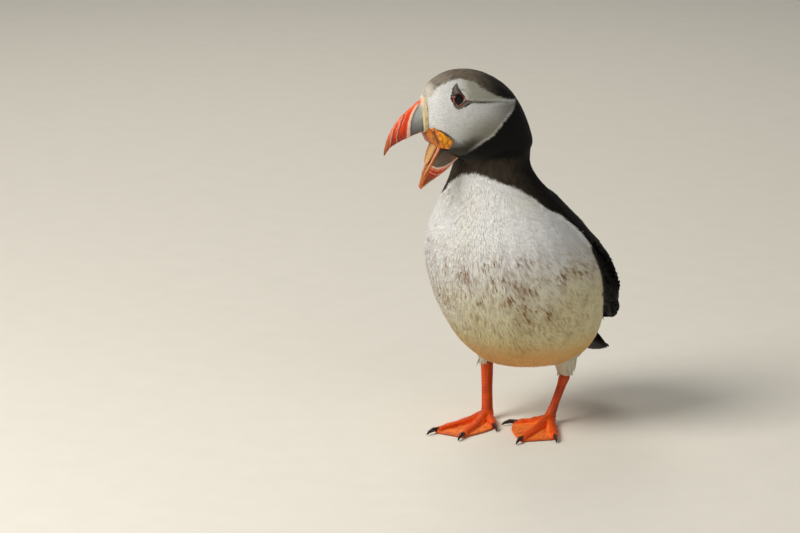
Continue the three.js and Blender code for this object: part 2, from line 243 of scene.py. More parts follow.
def remesh(piece, voxel):
    """Skins the piece anew with even quads, which also joins all that overlaps."""
    bpy.context.view_layer.objects.active = piece
    modifier = piece.modifiers.new("Remesh", "REMESH")
    modifier.mode = "VOXEL"
    modifier.voxel_size = voxel * MM
    modifier.use_smooth_shade = True
    bpy.ops.object.modifier_apply(modifier=modifier.name)


def relax(piece, times, share=1.0):
    """Smooths without shrinking: each pass draws points together and then lets them out again."""
    start, end = read_rows(piece.data.edges, "vertices", 2, int).T
    points = points_of(piece)
    count = len(points)
    links = np.maximum(np.bincount(start, minlength=count) + np.bincount(end, minlength=count), 1)
    share = np.broadcast_to(share, count)[:, None]
    for pace in (0.6, -0.61) * times:
        pull = [
            np.bincount(start, column[end], count) + np.bincount(end, column[start], count)
            for column in points.T
        ]
        points = points + share * pace * (np.stack(pull, axis=1) / links[:, None] - points)
    put_points(piece, points)


def coat_depth(points):
    """How deep the plumage is: 1.7 mm on the body, and less on the head, by the bill and at the ankles."""
    ahead, _, height = in_head(points)
    on_head = smooth_step(158, 168, height)
    by_bill = smooth_step(14, 26, ahead) * on_head
    at_ankle = smooth_step(45, 35, height)
    return 1.7 - 0.8 * on_head - 0.75 * by_bill - 0.9 * at_ankle


skin = copy_of("body_skin", *TRUNK_NODES, "eye_left", "eye_right", *LIMB_NODES, grow=SKIN_GROWTH)
remesh(skin, SKIN_VOXEL)
skin_points = points_of(skin)
on_tail = smooth_step(40, 56, skin_points[:, 1]) * smooth_step(75, 60, skin_points[:, 2])
relax(skin, 24, 1 - 0.92 * on_tail)
relax(skin, 50, line_at(skin_points[:, 2] - NAPE_HEIGHT, 11))
skin_points = points_of(skin)
# The dent between head and neck is filled at the back.
behind = smooth_step(6, -4, in_head(skin_points)[0])
nape_fill = 1.3 * line_at(skin_points[:, 2] - NAPE_DENT_HEIGHT, 5.5) * behind
sunk = coat_depth(skin_points) + SKIN_GROWTH - nape_fill
put_points(skin, skin_points - normals_of(skin) * sunk[:, None])
skin_points = points_of(skin)

# ---- Markings ------------------------------------------------------------------------------------------
# The pattern of the breeding plumage, as one function of place that skin and feathers share: white belly,
# black collar, back and wings, pale grey face patch under a dark cap, and brown earth stains on the belly.
# Painted light is laid in too: bounce light on the lower belly, a highlight on the forehead, and shade round
# the ankles, on the cheek, at the chin and in the furrow behind the eye.
BODY_AXIS_Y = -5.5
TAIL_START = 60
COLLAR_ANGLES = (
    (-180, -117, -111, -103, -98, -91, -80, -66, -52, -39, -32, -25, -13)
    + (0, 12, 22, 40, 56, 66, 80, 91, 98, 103, 111, 117, 180)
)
COLLAR_HEIGHTS = (
    (101, 101, 106.3, 111.8, 116, 121, 127, 132.5, 137, 140.7, 145.1, 148.3, 153)
    + (155, 153.5, 150.9, 146.7, 140.7, 135.3, 129.3, 122.1, 116, 111.8, 106.3, 101, 101)
)
WING_EDGE_HEIGHTS = (38, 43, 48, 54, 59, 63, 67, 71, 78, 85, 91, 100, 107)
WING_EDGE_PLACES = (92, 74, 58, 48, 38, 31, 26, 23, 20, 18, 15.5, 11, 6.5)
FACE_OUTLINE = (
    (27.5, 199), (26, 200.1), (24.8, 202.6), (23, 204.4), (20.8, 205.8), (16, 208), (10.8, 208.8),
    (3.3, 207), (-0.2, 204), (-5.2, 200.6), (-12.6, 197.2), (-19.7, 195.5), (-22.6, 195.2),
    (-20.3, 191.8), (-15.3, 187.8), (-10.4, 183.4), (-6.4, 178.3), (-2.5, 175.6), (2.1, 172.5),
    (5.4, 169), (8, 166.5), (9.9, 165.5), (13, 166.5), (20, 168), (34, 175), (34, 196),
)
FURROW_AHEAD = (-20, -10, 7)
FURROW_HEIGHT = (194.3, 195.6, 197.1)
# Each patch of earth: how far left of the middle, how high, how large, how strong.
EARTH_PATCHES = (
    (-7, 97, 11, 0.8), (17, 101, 11, 0.85), (24, 91, 15, 1.0), (6, 85, 10, 0.7), (-20, 82, 10, 0.6),
    (31, 76, 13, 0.6), (45, 98, 9, 0.45), (30, 108, 8, 0.35), (17, 53, 12, 0.25),
)
BELLY_WHITE = linear("#e8eaec")
# Painted bounce light from the ground on the lower belly: cream, and warm underneath.
BELLY_BOUNCE_LIGHT_CREAM = linear("#d8cd93")
BELLY_BOUNCE_LIGHT_WARM = linear("#dca552")
ANKLE_PAINTED_SHADE = linear("#dcd4bc")
EARTH_STAIN = linear("#84592c")
BLACK_PLUMAGE = linear("#0f0c0a")
COLLAR_BROWN = linear("#4d443a")
FACE_WHITE = linear("#f0f2f3")
FACE_GREY_AND_SHADE = linear("#aaa898")
FACE_SHADOW = linear("#5c543f")
CHIN_PAINTED_SHADE = linear("#2c2316")
GAPE_ORANGE = linear("#c8741a")
CROWN_GREY = linear("#a69c8e")
CROWN_BROWN = linear("#7e7364")
FOREHEAD_PAINTED_HIGHLIGHT = linear("#d8d3c8")
FURROW_PAINTED_SHADE = linear("#3c352d")
# Painted shade: the skin is painted darker than the feathers, as if in their shadow.
SKIN_UNDER_FEATHERS_SHADE = 0.8  # the skin under the feathers is this much darker than they are


def blend(first, second, share):
    """From the first colour or vector to the second, by a share for each row."""
    share = np.asarray(share)[..., None]
    return first * (1 - share) + second * share


def layered(colour, *coats):
    """Lays further colours over the first, each by its own share at each point."""
    for over, share in coats:
        colour = blend(colour, over, share)
    return colour


def mottle(points, size, seed):
    """Soft random patches of a size in millimetres, from 0 to 1, and the same on each run."""
    spots = np.asarray(points, float) / size
    cell = np.floor(spots)
    share = spots - cell
    share = share * share * (3 - 2 * share)
    total = np.zeros(len(spots))
    for corner in np.ndindex(2, 2, 2):
        weight = np.prod(np.where(corner, share, 1 - share), axis=1)
        x, y, z = (cell + corner).astype(np.int64).T
        mixed = (x * 73856093) ^ (y * 19349663) ^ (z * 83492791) ^ (seed * 2654435761)
        mixed = (mixed ^ (mixed >> 13)) * 1274126177
        total += weight * (((mixed ^ (mixed >> 16)) & 0xFFFF) / 0xFFFF)
    return total


def depth_inside(x, y, outline):
    """How far inside a closed outline each point is, and below zero outside it."""
    corners = np.array(outline, float)
    inside = np.zeros(len(x), bool)
    nearest = np.full(len(x), np.inf)
    for (ax, ay), (bx, by) in zip(corners, np.roll(corners, -1, axis=0)):
        length = (bx - ax) ** 2 + (by - ay) ** 2
        along = np.clip(((x - ax) * (bx - ax) + (y - ay) * (by - ay)) / length, 0, 1)
        gap = np.hypot(x - ax - along * (bx - ax), y - ay - along * (by - ay))
        nearest = np.minimum(nearest, gap)
        crosses = (ay > y) != (by > y)
        inside ^= crosses & (x < ax + (y - ay) / (by - ay if by != ay else 1e-9) * (bx - ax))
    return np.where(inside, nearest, -nearest)


def white_depth(points):
    """How far inside the white of the body a point is, and below zero in the black."""
    x, y, height = points.T
    angle = np.degrees(np.arctan2(x, BODY_AXIS_Y - y))
    under_collar = np.interp(angle, COLLAR_ANGLES, COLLAR_HEIGHTS) - height
    before_wing = np.interp(height, WING_EDGE_HEIGHTS, WING_EDGE_PLACES) - y
    return np.min([under_collar, before_wing, TAIL_START - y], axis=0)


def end_of(node, lowest, depth):
    """The middle of a node's lowest or highest slice, of a depth in millimetres."""
    points = points_of(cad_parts[node])
    height = points[:, 2]
    return points[height < height.min() + depth if lowest else height > height.max() - depth].mean(axis=0)


ANKLES = [end_of(f"thigh_{side}", lowest=True, depth=3) for side in ("left", "right")]


def belly_colour(points):
    """White above, and cream below and warm underneath as painted bounce light from the ground.

    Painted shade greys the feathers round the ankles; earth from the burrow lies on the feather tips.
    """
    x, y, height = points.T
    # Painted bounce light: cream up the lower belly, and warm at the bottom.
    cream = smooth_step(112, 54, height - 0.28 * x) * 0.8 + 0.25 * (mottle(points, 14, 3) - 0.4)
    from_ankle = np.min([np.hypot(x - ankle[0], y - ankle[1]) for ankle in ANKLES], axis=0)
    streaks = points * np.array([1, 1, 0.55])
    dusty = smooth_step(122, 104, height) * smooth_step(44, 62, height) * smooth_step(40, -6, y)
    patches = np.zeros(len(points))
    for across, up, size, strength in EARTH_PATCHES:
        away = np.hypot(x - across, (height - up) * 1.4) + 9 * (mottle(points, 7, 5) - 0.5)
        patches = np.maximum(patches, strength * smooth_step(size, size * 0.25, away))
    patches *= smooth_step(30, 0, y)
    specks = smooth_step(0.5, 0.72, mottle(streaks, 0.8, 7)) * smooth_step(0.0, 0.5, mottle(points, 4, 11))
    grime = smooth_step(0.3, 0.8, mottle(streaks, 5, 9))
    return layered(
        BELLY_WHITE,
        (BELLY_BOUNCE_LIGHT_CREAM, np.clip(cream, 0, 1)),
        (BELLY_BOUNCE_LIGHT_WARM, smooth_step(62, 44, height) * 0.8),
        # Painted shade: the feathers round the ankles are greyed.
        (ANKLE_PAINTED_SHADE, smooth_step(13, 9, from_ankle) * smooth_step(46, 41, height)),
        (EARTH_STAIN, specks * np.clip(0.5 * dusty + patches, 0, 1)),
        (EARTH_STAIN, grime * (0.16 * dusty + 0.45 * patches)),
    )


def head_colour(points):
    """A flecked brown cap that turns black behind, with a painted highlight on the forehead, and a white face.

    The face is grey behind the eye and on the cheek, partly its own grey and partly painted shade; the
    cheek's rear, the jaw, the chin and the furrow are painted shade.
    """
    ahead, out, height = in_head(points)
    flecks = mottle(np.stack([ahead * 0.35, out, height], axis=1), 0.7, 13)
    cap = layered(
        CROWN_BROWN,
        (BLACK_PLUMAGE, smooth_step(5, -14, ahead)),
        (CROWN_GREY, smooth_step(8, 21, ahead) * 0.85),
        (BLACK_PLUMAGE, smooth_step(0.35, 0.85, flecks) * 0.45),
        # Painted highlight: the forehead by the bill is painted pale, for light along its edge.
        (FOREHEAD_PAINTED_HIGHLIGHT, smooth_step(23, 26.5, ahead)),
        (BLACK_PLUMAGE, smooth_step(190, 182, height)),
    )
    inside = depth_inside(ahead, height, FACE_OUTLINE)
    behind_eye = smooth_step(15, 5, ahead) * smooth_step(194, 199, height)
    cheek = line_at(ahead + 3, 14) * line_at(height - 181, 9)
    rear = smooth_step(2, -17, ahead) * smooth_step(196, 193, height)
    jaw = line_at(ahead - 4, 9) * line_at(height - 174, 6)
    chin = smooth_step(177, 170, height + 0.25 * (ahead - 12)) * smooth_step(1, 8, ahead)
    rim = smooth_step(2.0, 0.4, inside) * smooth_step(193, 188, height) * smooth_step(7, 1, ahead)
    # Painted shade: a dark line where the furrow's crease runs back from the eye.
    from_furrow = np.abs(height - np.interp(ahead, FURROW_AHEAD, FURROW_HEIGHT))
    furrow = smooth_step(0.9, 0.2, from_furrow) * smooth_step(-21, -14, ahead) * smooth_step(11, 8, ahead)
    # The cheek's grey is partly the face's own and partly painted shade; its rear, the jaw and the chin are
    # painted shade.
    face = layered(
        FACE_WHITE,
        (FACE_GREY_AND_SHADE, behind_eye * 0.9),
        (FACE_GREY_AND_SHADE, cheek),
        (FACE_SHADOW, rear * 0.7),
        (FACE_SHADOW, jaw * 0.9),
        (CHIN_PAINTED_SHADE, chin * 0.95),
        (FACE_WHITE, rim * 0.5),
        (FURROW_PAINTED_SHADE, furrow * (0.5 + 0.45 * smooth_step(-10, 0, ahead))),
    )
    gape = smooth_step(10.4, 9.6, np.abs(out)) * smooth_step(182, 180, height) * smooth_step(20, 22, ahead)
    return layered(cap, (face, smooth_step(-0.25, 0.25, inside)), (GAPE_ORANGE, gape))


def plumage(points):
    """The plumage's colour at each place, in linear light."""
    paler = smooth_step(-12, -36, points[:, 1]) * smooth_step(172, 160, points[:, 2])
    paler *= 0.35 + 0.6 * mottle(points * np.array([1, 1, 0.4]), 1.4, 15)
    return layered(
        BLACK_PLUMAGE,
        (COLLAR_BROWN, paler),
        (belly_colour(points), smooth_step(-0.6, 0.6, white_depth(points))),
        (head_colour(points), smooth_step(160, 165, points[:, 2])),
    )


def paint(piece, colours):
    """Stores a colour for each point of a piece, for its material to read."""
    layer = piece.data.color_attributes.new("Pattern", "FLOAT_COLOR", "POINT")
    flat = np.ones((len(piece.data.vertices), 4), np.float32)
    flat[:, :3] = colours.reshape(-1, 3)
    layer.data.foreach_set("color", flat.ravel())


def dress(piece, material):
    piece.data.materials.clear()
    piece.data.materials.append(material)
    piece.data.shade_smooth()


def hand_over(piece, slot, *replaced):
    """Sets a finished piece to move with the root, and hides the imported nodes that it stands for."""
    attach(piece, "root")
    if replaced:
        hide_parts(*replaced)


def painted_material(name, grain, noise, tones, relief, surface, mappings=()):
    """A finish that reads the painted pattern, and varies its tone and relief with fine noise.

    The grain and the relief's depth are in millimetres. Tones are the noise's span and the tone's span.
    """
    material = new_material(name)
    place = add_node(material, "TexCoord", {}).outputs["Object"]
    for mapping in mappings:
        place = add_node(material, "Mapping", {"Vector": place, **mapping}).outputs["Vector"]
    noise = {"Vector": place, "Scale": 1 / (grain * MM), **noise}
    fine = add_node(material, "TexNoise", noise).outputs["Fac"]
    span = dict(zip(("From Min", "From Max", "To Min", "To Max"), tones))
    tone = add_node(material, "MapRange", {"Value": fine, **span}).outputs["Result"]
    pattern = add_node(material, "Attribute", {}, attribute_name="Pattern").outputs["Color"]
    colour = add_node(material, "VectorMath", {0: pattern, "Scale": tone}, operation="SCALE")
    surface = {"Base Color": colour.outputs["Vector"], **surface}
    if relief:
        strength, depth = relief
        bump = add_node(material, "Bump", {"Height": fine, "Strength": strength, "Distance": depth * MM})
        surface["Normal"] = bump.outputs["Normal"]
    return finish_with(material, surface)


def plumage_material(name, roughness, barb, gloss):
    """Feather: soft and matt, with noise at the barbs' spacing."""
    surface = {"Roughness": roughness, "Specular IOR Level": gloss}
    surface |= {"Sheen Weight": 0.3 * gloss, "Sheen Roughness": 0.5}
    return painted_material(name, barb, {"Detail": 3.0}, (0.3, 0.7, 0.9, 1.06), (0.25, 0.15), surface)


white_feather = plumage_material("white_contour_feathers", 0.8, 0.5, 0.25)
black_feather = plumage_material("black_contour_feathers", 0.7, 0.5, 0.09)
face_feather = plumage_material("velvet_head_feathers", 0.85, 0.3, 0.2)

paint(skin, plumage(skin_points) * SKIN_UNDER_FEATHERS_SHADE)
dress(skin, white_feather)
hand_over(skin, "white_plumage", *TRUNK_NODES, *LIMB_NODES)

# ---- Contour feathers ----------------------------------------------------------------------------------
# The visible coat: small soft feathers that overlap like shingles and lie back from the bill, down the neck
# and over the body to the tail. Each is a thin closed blade that grows out of the skin.
BLADE_COUNTS = {"belly": 112000, "back": 46000, "head": 62000}
BLADE_ROOT_DEPTH = 0.4
BLADE_RIDGE = 0.14
BLADE_FACES = np.array([[0, 1, 2], [0, 2, 3], [0, 3, 1], [4, 2, 1], [4, 3, 2], [4, 1, 3]])
BLADE_FLAT = np.array([[0, -1], [-1, 0], [0, 0], [1, 0], [0, 1]]) / 2
# Painted shade along each feather: darkest at the root, under the feathers that overlap it.
BLADE_ROOT_SHADE = np.array([0.88, 0.98, 1.0, 0.98, 1.02])  # from the root to the tip
PATCH = 0.003  # each feather's share of the unwrap
EYE_CLEARANCE = 4.9
BILL_ROOT = from_head(26, 0, 188)
TAIL_ROOT = np.array([0.0, 78.0, 32.0])
DOWN_NECK = np.array([0.0, 0.3, -1.0])
DOWN_THIGH = np.array([0.0, 0.12, -1.0])
TRUNK_MIDDLE = np.array([0.0, 0.0, 92.0])
HEAD_MIDDLE = from_head(0, 0, 184)
GAPE_AHEAD = 27.5
GAPE_HEIGHT = 180.5
rng = np.random.default_rng(11)
thinned = 1.0
skin_tree = BVHTree.FromObject(skin, bpy.context.evaluated_depsgraph_get())
skin_normals = normals_of(skin)
skin.data.calc_loop_triangles()
skin_triangles = read_rows(skin.data.loop_triangles, "vertices", 3, int)
corner_points = skin_points[skin_triangles]
triangle_middles = corner_points.mean(axis=1)
triangle_facing = unit(skin_normals[skin_triangles].mean(axis=1))
first_sides = corner_points[:, 1] - corner_points[:, 0]
triangle_areas = np.linalg.norm(np.cross(first_sides, corner_points[:, 2] - corner_points[:, 0]), axis=1) / 2


def nearest_on_skin(points):
    """The closest place on the skin to each point, and the skin's normal there."""
    found = np.array([skin_tree.find_nearest(point)[:2] for point in points * MM], float)
    return found[:, 0] / MM, found[:, 1]


def along_skin(way, facing):
    return unit(way - facing * np.sum(way * facing, axis=1, keepdims=True))


def lie_of_coat(points, normals):
    """Which way the feathers lie at each place on the skin."""
    height = points[:, 2]
    way = blend(unit(TAIL_ROOT - points), DOWN_THIGH, smooth_step(52, 42, height))
    way = blend(way, DOWN_NECK, smooth_step(128, 152, height))
    way = blend(way, unit(points - BILL_ROOT), smooth_step(158, 176, height))
    return along_skin(way, normals)


def mesh_piece(name, points, triangles, material):
    mesh = bpy.data.meshes.new(name)
    mesh.vertices.add(len(points))
    mesh.vertices.foreach_set("co", (points * MM).astype(np.float32).ravel())
    mesh.loops.add(len(triangles) * 3)
    mesh.loops.foreach_set("vertex_index", triangles.astype(np.int32).ravel())
    mesh.polygons.add(len(triangles))
    mesh.polygons.foreach_set("loop_start", np.arange(0, len(triangles) * 3, 3, dtype=np.int32))
    mesh.update(calc_edges=True)
    piece = add_object(name, mesh)
    dress(piece, material)
    return piece


def lay_out(piece, roots, middle, flat):
    """Gives the piece its map: each root's bearing and rise from a middle point, and the feather round it."""
    away = roots - middle
    level = np.hypot(away[:, 0], away[:, 1])
    spots = np.stack([np.arctan2(away[:, 0], -away[:, 1]), np.arctan2(away[:, 2], level)], axis=1)
    low, high = spots.min(axis=0), spots.max(axis=0)
    spots = 0.01 + 0.98 * (spots - low) / (high - low)
    places = (spots[:, None] + flat * PATCH).reshape(-1, 2)
    corners = read_rows(piece.data.loops, "vertex_index", 1, int).ravel()
    layer = piece.data.uv_layers.new(name="OFBake")
    layer.data.foreach_set("uv", places[corners].astype(np.float32).ravel())


def feathers(name, roots, normals, length, width, rise, middle, material, slot):
    """One piece of coat: a thin closed blade of six faces on each root."""
    count = len(roots)
    way = lie_of_coat(roots, normals)
    way = unit(way + np.cross(normals, way) * rng.normal(0, 0.13, (count, 1)))
    across = np.cross(normals, way)
    length = (length * rng.uniform(0.8, 1.2, count))[:, None]
    width = (width * rng.uniform(0.8, 1.2, count))[:, None]
    rise = (rise * rng.uniform(0.7, 1.25, count))[:, None]
    # At the ankle the feathers hang free, over the top of the bare shank.
    free = smooth_step(46, 42, roots[:, 2]) * smooth_step(52, 46, roots[:, 1])

    def laid(share):
        straight = roots + way * length * share
        place, facing = nearest_on_skin(straight)
        return blend(place, straight, free), unit(blend(facing, normals, free))

    middle_spot, middle_normal = laid(0.5)
    tip_spot, tip_normal = laid(1.0)
    belly = middle_spot + middle_normal * rise * 0.75
    points = [
        roots - normals * BLADE_ROOT_DEPTH,
        belly - across * width / 2,
        belly + middle_normal * width * BLADE_RIDGE,
        belly + across * width / 2,
        tip_spot + tip_normal * rise,
    ]
    triangles = (BLADE_FACES[None] + 5 * np.arange(count)[:, None, None]).reshape(-1, 3)
    piece = mesh_piece(name, np.stack(points, axis=1).reshape(-1, 3), triangles, material)
    tone = rng.uniform(0.93, 1.04, (count, 1))
    colour = plumage(belly + way * length * 0.15 + rng.normal(0, 0.25, (count, 3))) * tone
    paint(piece, colour[:, None] * BLADE_ROOT_SHADE[:, None])
    softened = [
        normals,
        unit(middle_normal - across * 0.12),
        middle_normal,
        unit(middle_normal + across * 0.12),
        unit(tip_normal + way * 0.12),
    ]
    piece.data.normals_split_custom_set_from_vertices(np.stack(softened, axis=1).reshape(-1, 3))
    lay_out(piece, roots, middle, BLADE_FLAT)
    hand_over(piece, slot)


def bare_skin():
    """The skin's triangles that grow no feathers: round the eyes, in the mouth's corner and down the legs."""
    ahead, out, height = in_head(triangle_middles)
    from_eye = np.hypot(ahead - EYE_AHEAD, height - EYE_HEIGHT)
    bare = (from_eye < EYE_CLEARANCE) & (np.abs(out) > 9)
    from_gape = np.abs((ahead - GAPE_AHEAD) * 0.73 - (height - GAPE_HEIGHT) * 0.69)
    bare |= (from_gape < 2.6) & (ahead > 17) & (np.abs(out) < 9) & (height < 183)
    bare |= (ahead > 21) & (height < 181) & (np.abs(out) < 10)
    hem = 34.8 + 2.4 * mottle(triangle_middles, 1.2, 17)
    on_leg = (height < 41) & (triangle_middles[:, 1] < 50)
    return bare | on_leg & ((height < hem) | (triangle_facing[:, 2] < -0.45))


def scatter(count, wanted):
    """Random roots on the skin's triangles, as dense as `wanted` says, and the skin's normals there."""
    weight = triangle_areas * wanted * ~bare
    chosen = rng.choice(len(weight), count, p=weight / weight.sum())
    first, second = rng.random((2, count))
    fold = first + second > 1
    first[fold], second[fold] = 1 - first[fold], 1 - second[fold]
    shares = np.stack([1 - first - second, first, second], axis=1)[:, :, None]
    roots = (corner_points[chosen] * shares).sum(axis=1)
    return roots, unit((skin_normals[skin_triangles[chosen]] * shares).sum(axis=1))


def coat(region, wanted, pieces, middle, material, slot, shape):
    """Feathers all over a region, in pieces of equal number split by their bearing from a middle point."""
    roots, normals = scatter(int(BLADE_COUNTS[region] * thinned), wanted)
    bearing = np.arctan2(roots[:, 0] - middle[0], middle[1] - roots[:, 1])
    for number, part in enumerate(np.array_split(np.argsort(bearing), pieces), 1):
        length, width, rise = shape(roots[part])
        feathers(
            f"coat_{region}_{number}", roots[part], normals[part], length, width, rise, middle, material, slot
        )


def belly_blades(roots):
    """Long and loose, but short and slim at the ankles."""
    short = smooth_step(48, 36, roots[:, 2])
    return 7.0 - 0.8 * short, 0.66 - 0.2 * short, 1.1 - 0.5 * short


def back_blades(roots):
    """Broad on the back, fine on the neck, and pressed flat where the wing's vanes cover them."""
    fine = smooth_step(125, 155, roots[:, 2])
    pressed = smooth_step(126, 116, roots[:, 2])
    return 7.5 - 3.2 * fine, 1.1 - 0.55 * fine, 1.5 - 0.4 * fine - 0.9 * pressed


def head_blades(roots):
    """Like velvet, and finest towards the bill."""
    fine = smooth_step(10, 25, in_head(roots)[0])
    return 2.9 - 1.3 * fine, 0.36 - 0.08 * fine, coat_depth(roots) * 0.85


bare = bare_skin()
middle_white = white_depth(triangle_middles)
on_head = smooth_step(160, 166, triangle_middles[:, 2])
is_white = (middle_white > -1.5) * (1 - on_head)
on_thigh = (triangle_middles[:, 2] < 46) & (triangle_middles[:, 1] < 50)
is_black = (middle_white <= 1.5) * (1 - on_head) * ~on_thigh
# Vanes cover the folded wing, so only its edge needs small feathers.
beside_white = smooth_step(-10, -4, middle_white)
above_wing = smooth_step(112, 128, triangle_middles[:, 2])
is_black = is_black * (0.15 + 0.85 * above_wing + 0.5 * beside_white)
coat("belly", is_white, 4, TRUNK_MIDDLE, white_feather, "white_plumage", belly_blades)
coat("back", is_black, 3, TRUNK_MIDDLE, black_feather, "black_plumage", back_blades)
coat("head", on_head, 2, HEAD_MIDDLE, face_feather, "head_plumage", head_blades)

# ---- Eyes ----------------------------------------------------------------------------------------------
# A puffin's eye is a dark brown iris round a black pupil, wet and almost spherical, with a cornea that
# stands a little proud. Each ball is a sphere turned to look out and slightly forward and up.
EYE_RADIUS = 4.7
CORNEA_RISE = 0.35
GAZE_AHEAD = 0.24
GAZE_UP = 0.2
PUPIL_BLACK = linear("#050608")
IRIS_BROWN = linear("#170e0b")
IRIS_EDGE = linear("#3b1712")
SIDES = (("left", 1), ("right", -1))
wet_surface = {"Roughness": 0.35, "Specular IOR Level": 0.1}
wet_surface |= {"Coat Weight": 0.4, "Coat Roughness": 0.02, "Coat IOR": 1.38}
wet_eye = painted_material("wet_eye", 0.4, {}, (0, 1, 0.7, 1.3), None, wet_surface)


def eyeball(name, side):
    bpy.ops.mesh.primitive_uv_sphere_add(segments=64, ring_count=40, radius=EYE_RADIUS * MM)
    piece = bpy.context.object
    piece.name = f"eyeball_{name}"
    gaze = unit(HEAD_LEFT * side + HEAD_AHEAD * GAZE_AHEAD + UP * GAZE_UP)
    # The sphere's own pole is turned to the gaze, so that its rings are rings of the iris.
    sideways = unit(np.cross(UP, gaze))
    way = unit(points_of(piece)) @ np.stack([sideways, np.cross(gaze, sideways), gaze])
    from_gaze = np.degrees(np.arccos(np.clip(way @ gaze, -1, 1)))
    radius = EYE_RADIUS + CORNEA_RISE * smooth_step(42, 14, from_gaze)
    put_points(piece, middle_of(f"eye_{name}") + way * radius[:, None])
    iris, edge = smooth_step(17, 19, from_gaze), smooth_step(27, 36, from_gaze)
    paint(piece, layered(PUPIL_BLACK, (IRIS_BROWN, iris), (IRIS_EDGE, edge)))
    dress(piece, wet_eye)
    hand_over(piece, "eye", f"eye_{name}")


for side_name, side in SIDES:
    eyeball(side_name, side)

# ---- Eyelids and eye plates ----------------------------------------------------------------------------
# A coral-red rim of bare skin round each eye, a tall grey horny plate above it like a brow and a long one
# below that ends in the furrow. All lie on the face, so each point is set down on the skin from outside.
RIM_OUTLINE = (
    (3.3, 1.5), (3.0, -0.8), (2.1, -2.5), (0.9, -3.2), (-0.8, -2.8), (-2.3, -1.9), (-3.8, -0.6),
    (-2.8, 1.4), (-1.4, 2.8), (0.4, 3.7), (2.0, 3.5), (3.0, 2.7),
)
RIM_STATIONS = 72
RIM_AROUND = 10
# Each plate: rows of three places from its front edge to its rear one, ahead of and above the eye.
UPPER_PLATE = (
    ((3.4, 1.7), (0.6, 3.9), (-3.5, 1.4)),
    ((3.2, 3.6), (0.5, 4.6), (-2.3, 3.5)),
    ((2.4, 5.7), (0.3, 5.8), (-1.7, 5.3)),
    ((1.2, 7.2), (-0.2, 7.2), (-1.5, 6.9)),
    ((-0.8, 8.5), (-1.0, 8.5), (-1.2, 8.5)),
)
LOWER_PLATE = (
    ((3.4, -0.8), (3.3, -0.7), (3.1, -0.6)),
    ((3.1, -2.9), (2.6, -2.4), (2.2, -1.9)),
    ((1.1, -5.4), (1.0, -4.2), (1.0, -2.9)),
    ((-2.1, -4.6), (-1.5, -3.5), (-1.0, -2.4)),
    ((-4.9, -2.9), (-4.1, -1.6), (-3.5, -0.4)),
    ((-7.8, -1.3), (-7.4, -1.1), (-7.0, -0.8)),
)
PLATE_STATIONS = 40
PLATE_ACROSS = 13
PLATE_SUNK = 0.6
RIM_CORAL = linear("#b65a4e")
RIM_PAINTED_SHADE = linear("#4a1c18")
PLATE_GREY = linear("#4e4742")
PLATE_EDGE_SHADE = linear("#1e1917")
PLATE_CREST_HIGHLIGHT = linear("#8f8378")


def waxy(roughness, coat_weight, coat_roughness, glow, red, green, blue):
    """A waxy surface: a soft sheen, and a little light let through to a depth for each colour, in mm."""
    surface = {"Roughness": roughness, "Specular IOR Level": 0.3}
    surface |= {"Coat Weight": coat_weight, "Coat Roughness": coat_roughness, "Subsurface Weight": glow}
    return surface | {"Subsurface Radius": (red * MM, green * MM, blue * MM), "Subsurface Scale": 1.0}


def skin_material(name, roughness, wrinkle, strength, coat_weight=0.0):
    """Bare waxy skin, with fine wrinkles."""
    noise = {"Detail": 4.0, "Distortion": 0.6}
    surface = waxy(roughness, coat_weight, 0.2, 0.08, 1.2, 0.5, 0.3)
    return painted_material(name, wrinkle, noise, (0.3, 0.7, 0.86, 1.08), (strength, 0.12), surface)


def curve_through(corners, count, closed=False):
    """Evenly numbered points on a smooth curve through some corners."""
    corners = np.array(corners, float)
    size = len(corners)
    places = np.linspace(0, size if closed else size - 1, count, endpoint=not closed)
    first = np.minimum(places.astype(int), size - 1 if closed else size - 2)
    share = (places - first)[(...,) + (None,) * (corners.ndim - 1)]

    def corner(step):
        at = first + step
        return corners[at % size if closed else np.clip(at, 0, size - 1)]

    before, start, end, after = (corner(step) for step in (-1, 0, 1, 2))
    cubic = share * (3 * (start - end) + after - before)
    return start + share / 2 * (end - before + share * (2 * before - 5 * start + 4 * end - after + cubic))


def cast_on_skin(starts, way):
    """Where a ray from each start meets the skin, and the skin's normal there, or not a number for a miss."""
    missed = [(np.nan,) * 3] * 2
    hits = [skin_tree.ray_cast(start, way)[:2] for start in starts.reshape(-1, 3) * MM]
    found = np.array([missed if place is None else (place, facing) for place, facing in hits], float)
    return found[:, 0].reshape(starts.shape) / MM, unit(found[:, 1]).reshape(starts.shape)


def set_on_face(spots, side):
    """Places on the face or the eyeball, and the face's normals, for points round the eye seen side on."""
    start = from_head(EYE_AHEAD + spots[..., 0], side * 40.0, EYE_HEIGHT + spots[..., 1])
    found, facing = cast_on_skin(start, -HEAD_LEFT * side)
    ball = 1 - np.sum(spots**2, axis=-1) / EYE_RADIUS**2
    on_ball = in_head(middle_of("eye_left"))[1] + EYE_RADIUS * np.sqrt(np.clip(ball, 0, 1))
    out = in_head(found)[1] * side
    higher = np.where(ball > 0, np.maximum(out, on_ball), out)
    return found + HEAD_LEFT * (side * (higher - out))[..., None], facing


def tube(path, across, up, radius, around):
    """Rings round a path, each an ellipse on two directions."""
    turn = np.linspace(0, 2 * np.pi, around, endpoint=False)[:, None]
    ring = across[:, None] * np.cos(turn) + up[:, None] * np.sin(turn)
    return path[:, None] + radius[:, None, None] * ring


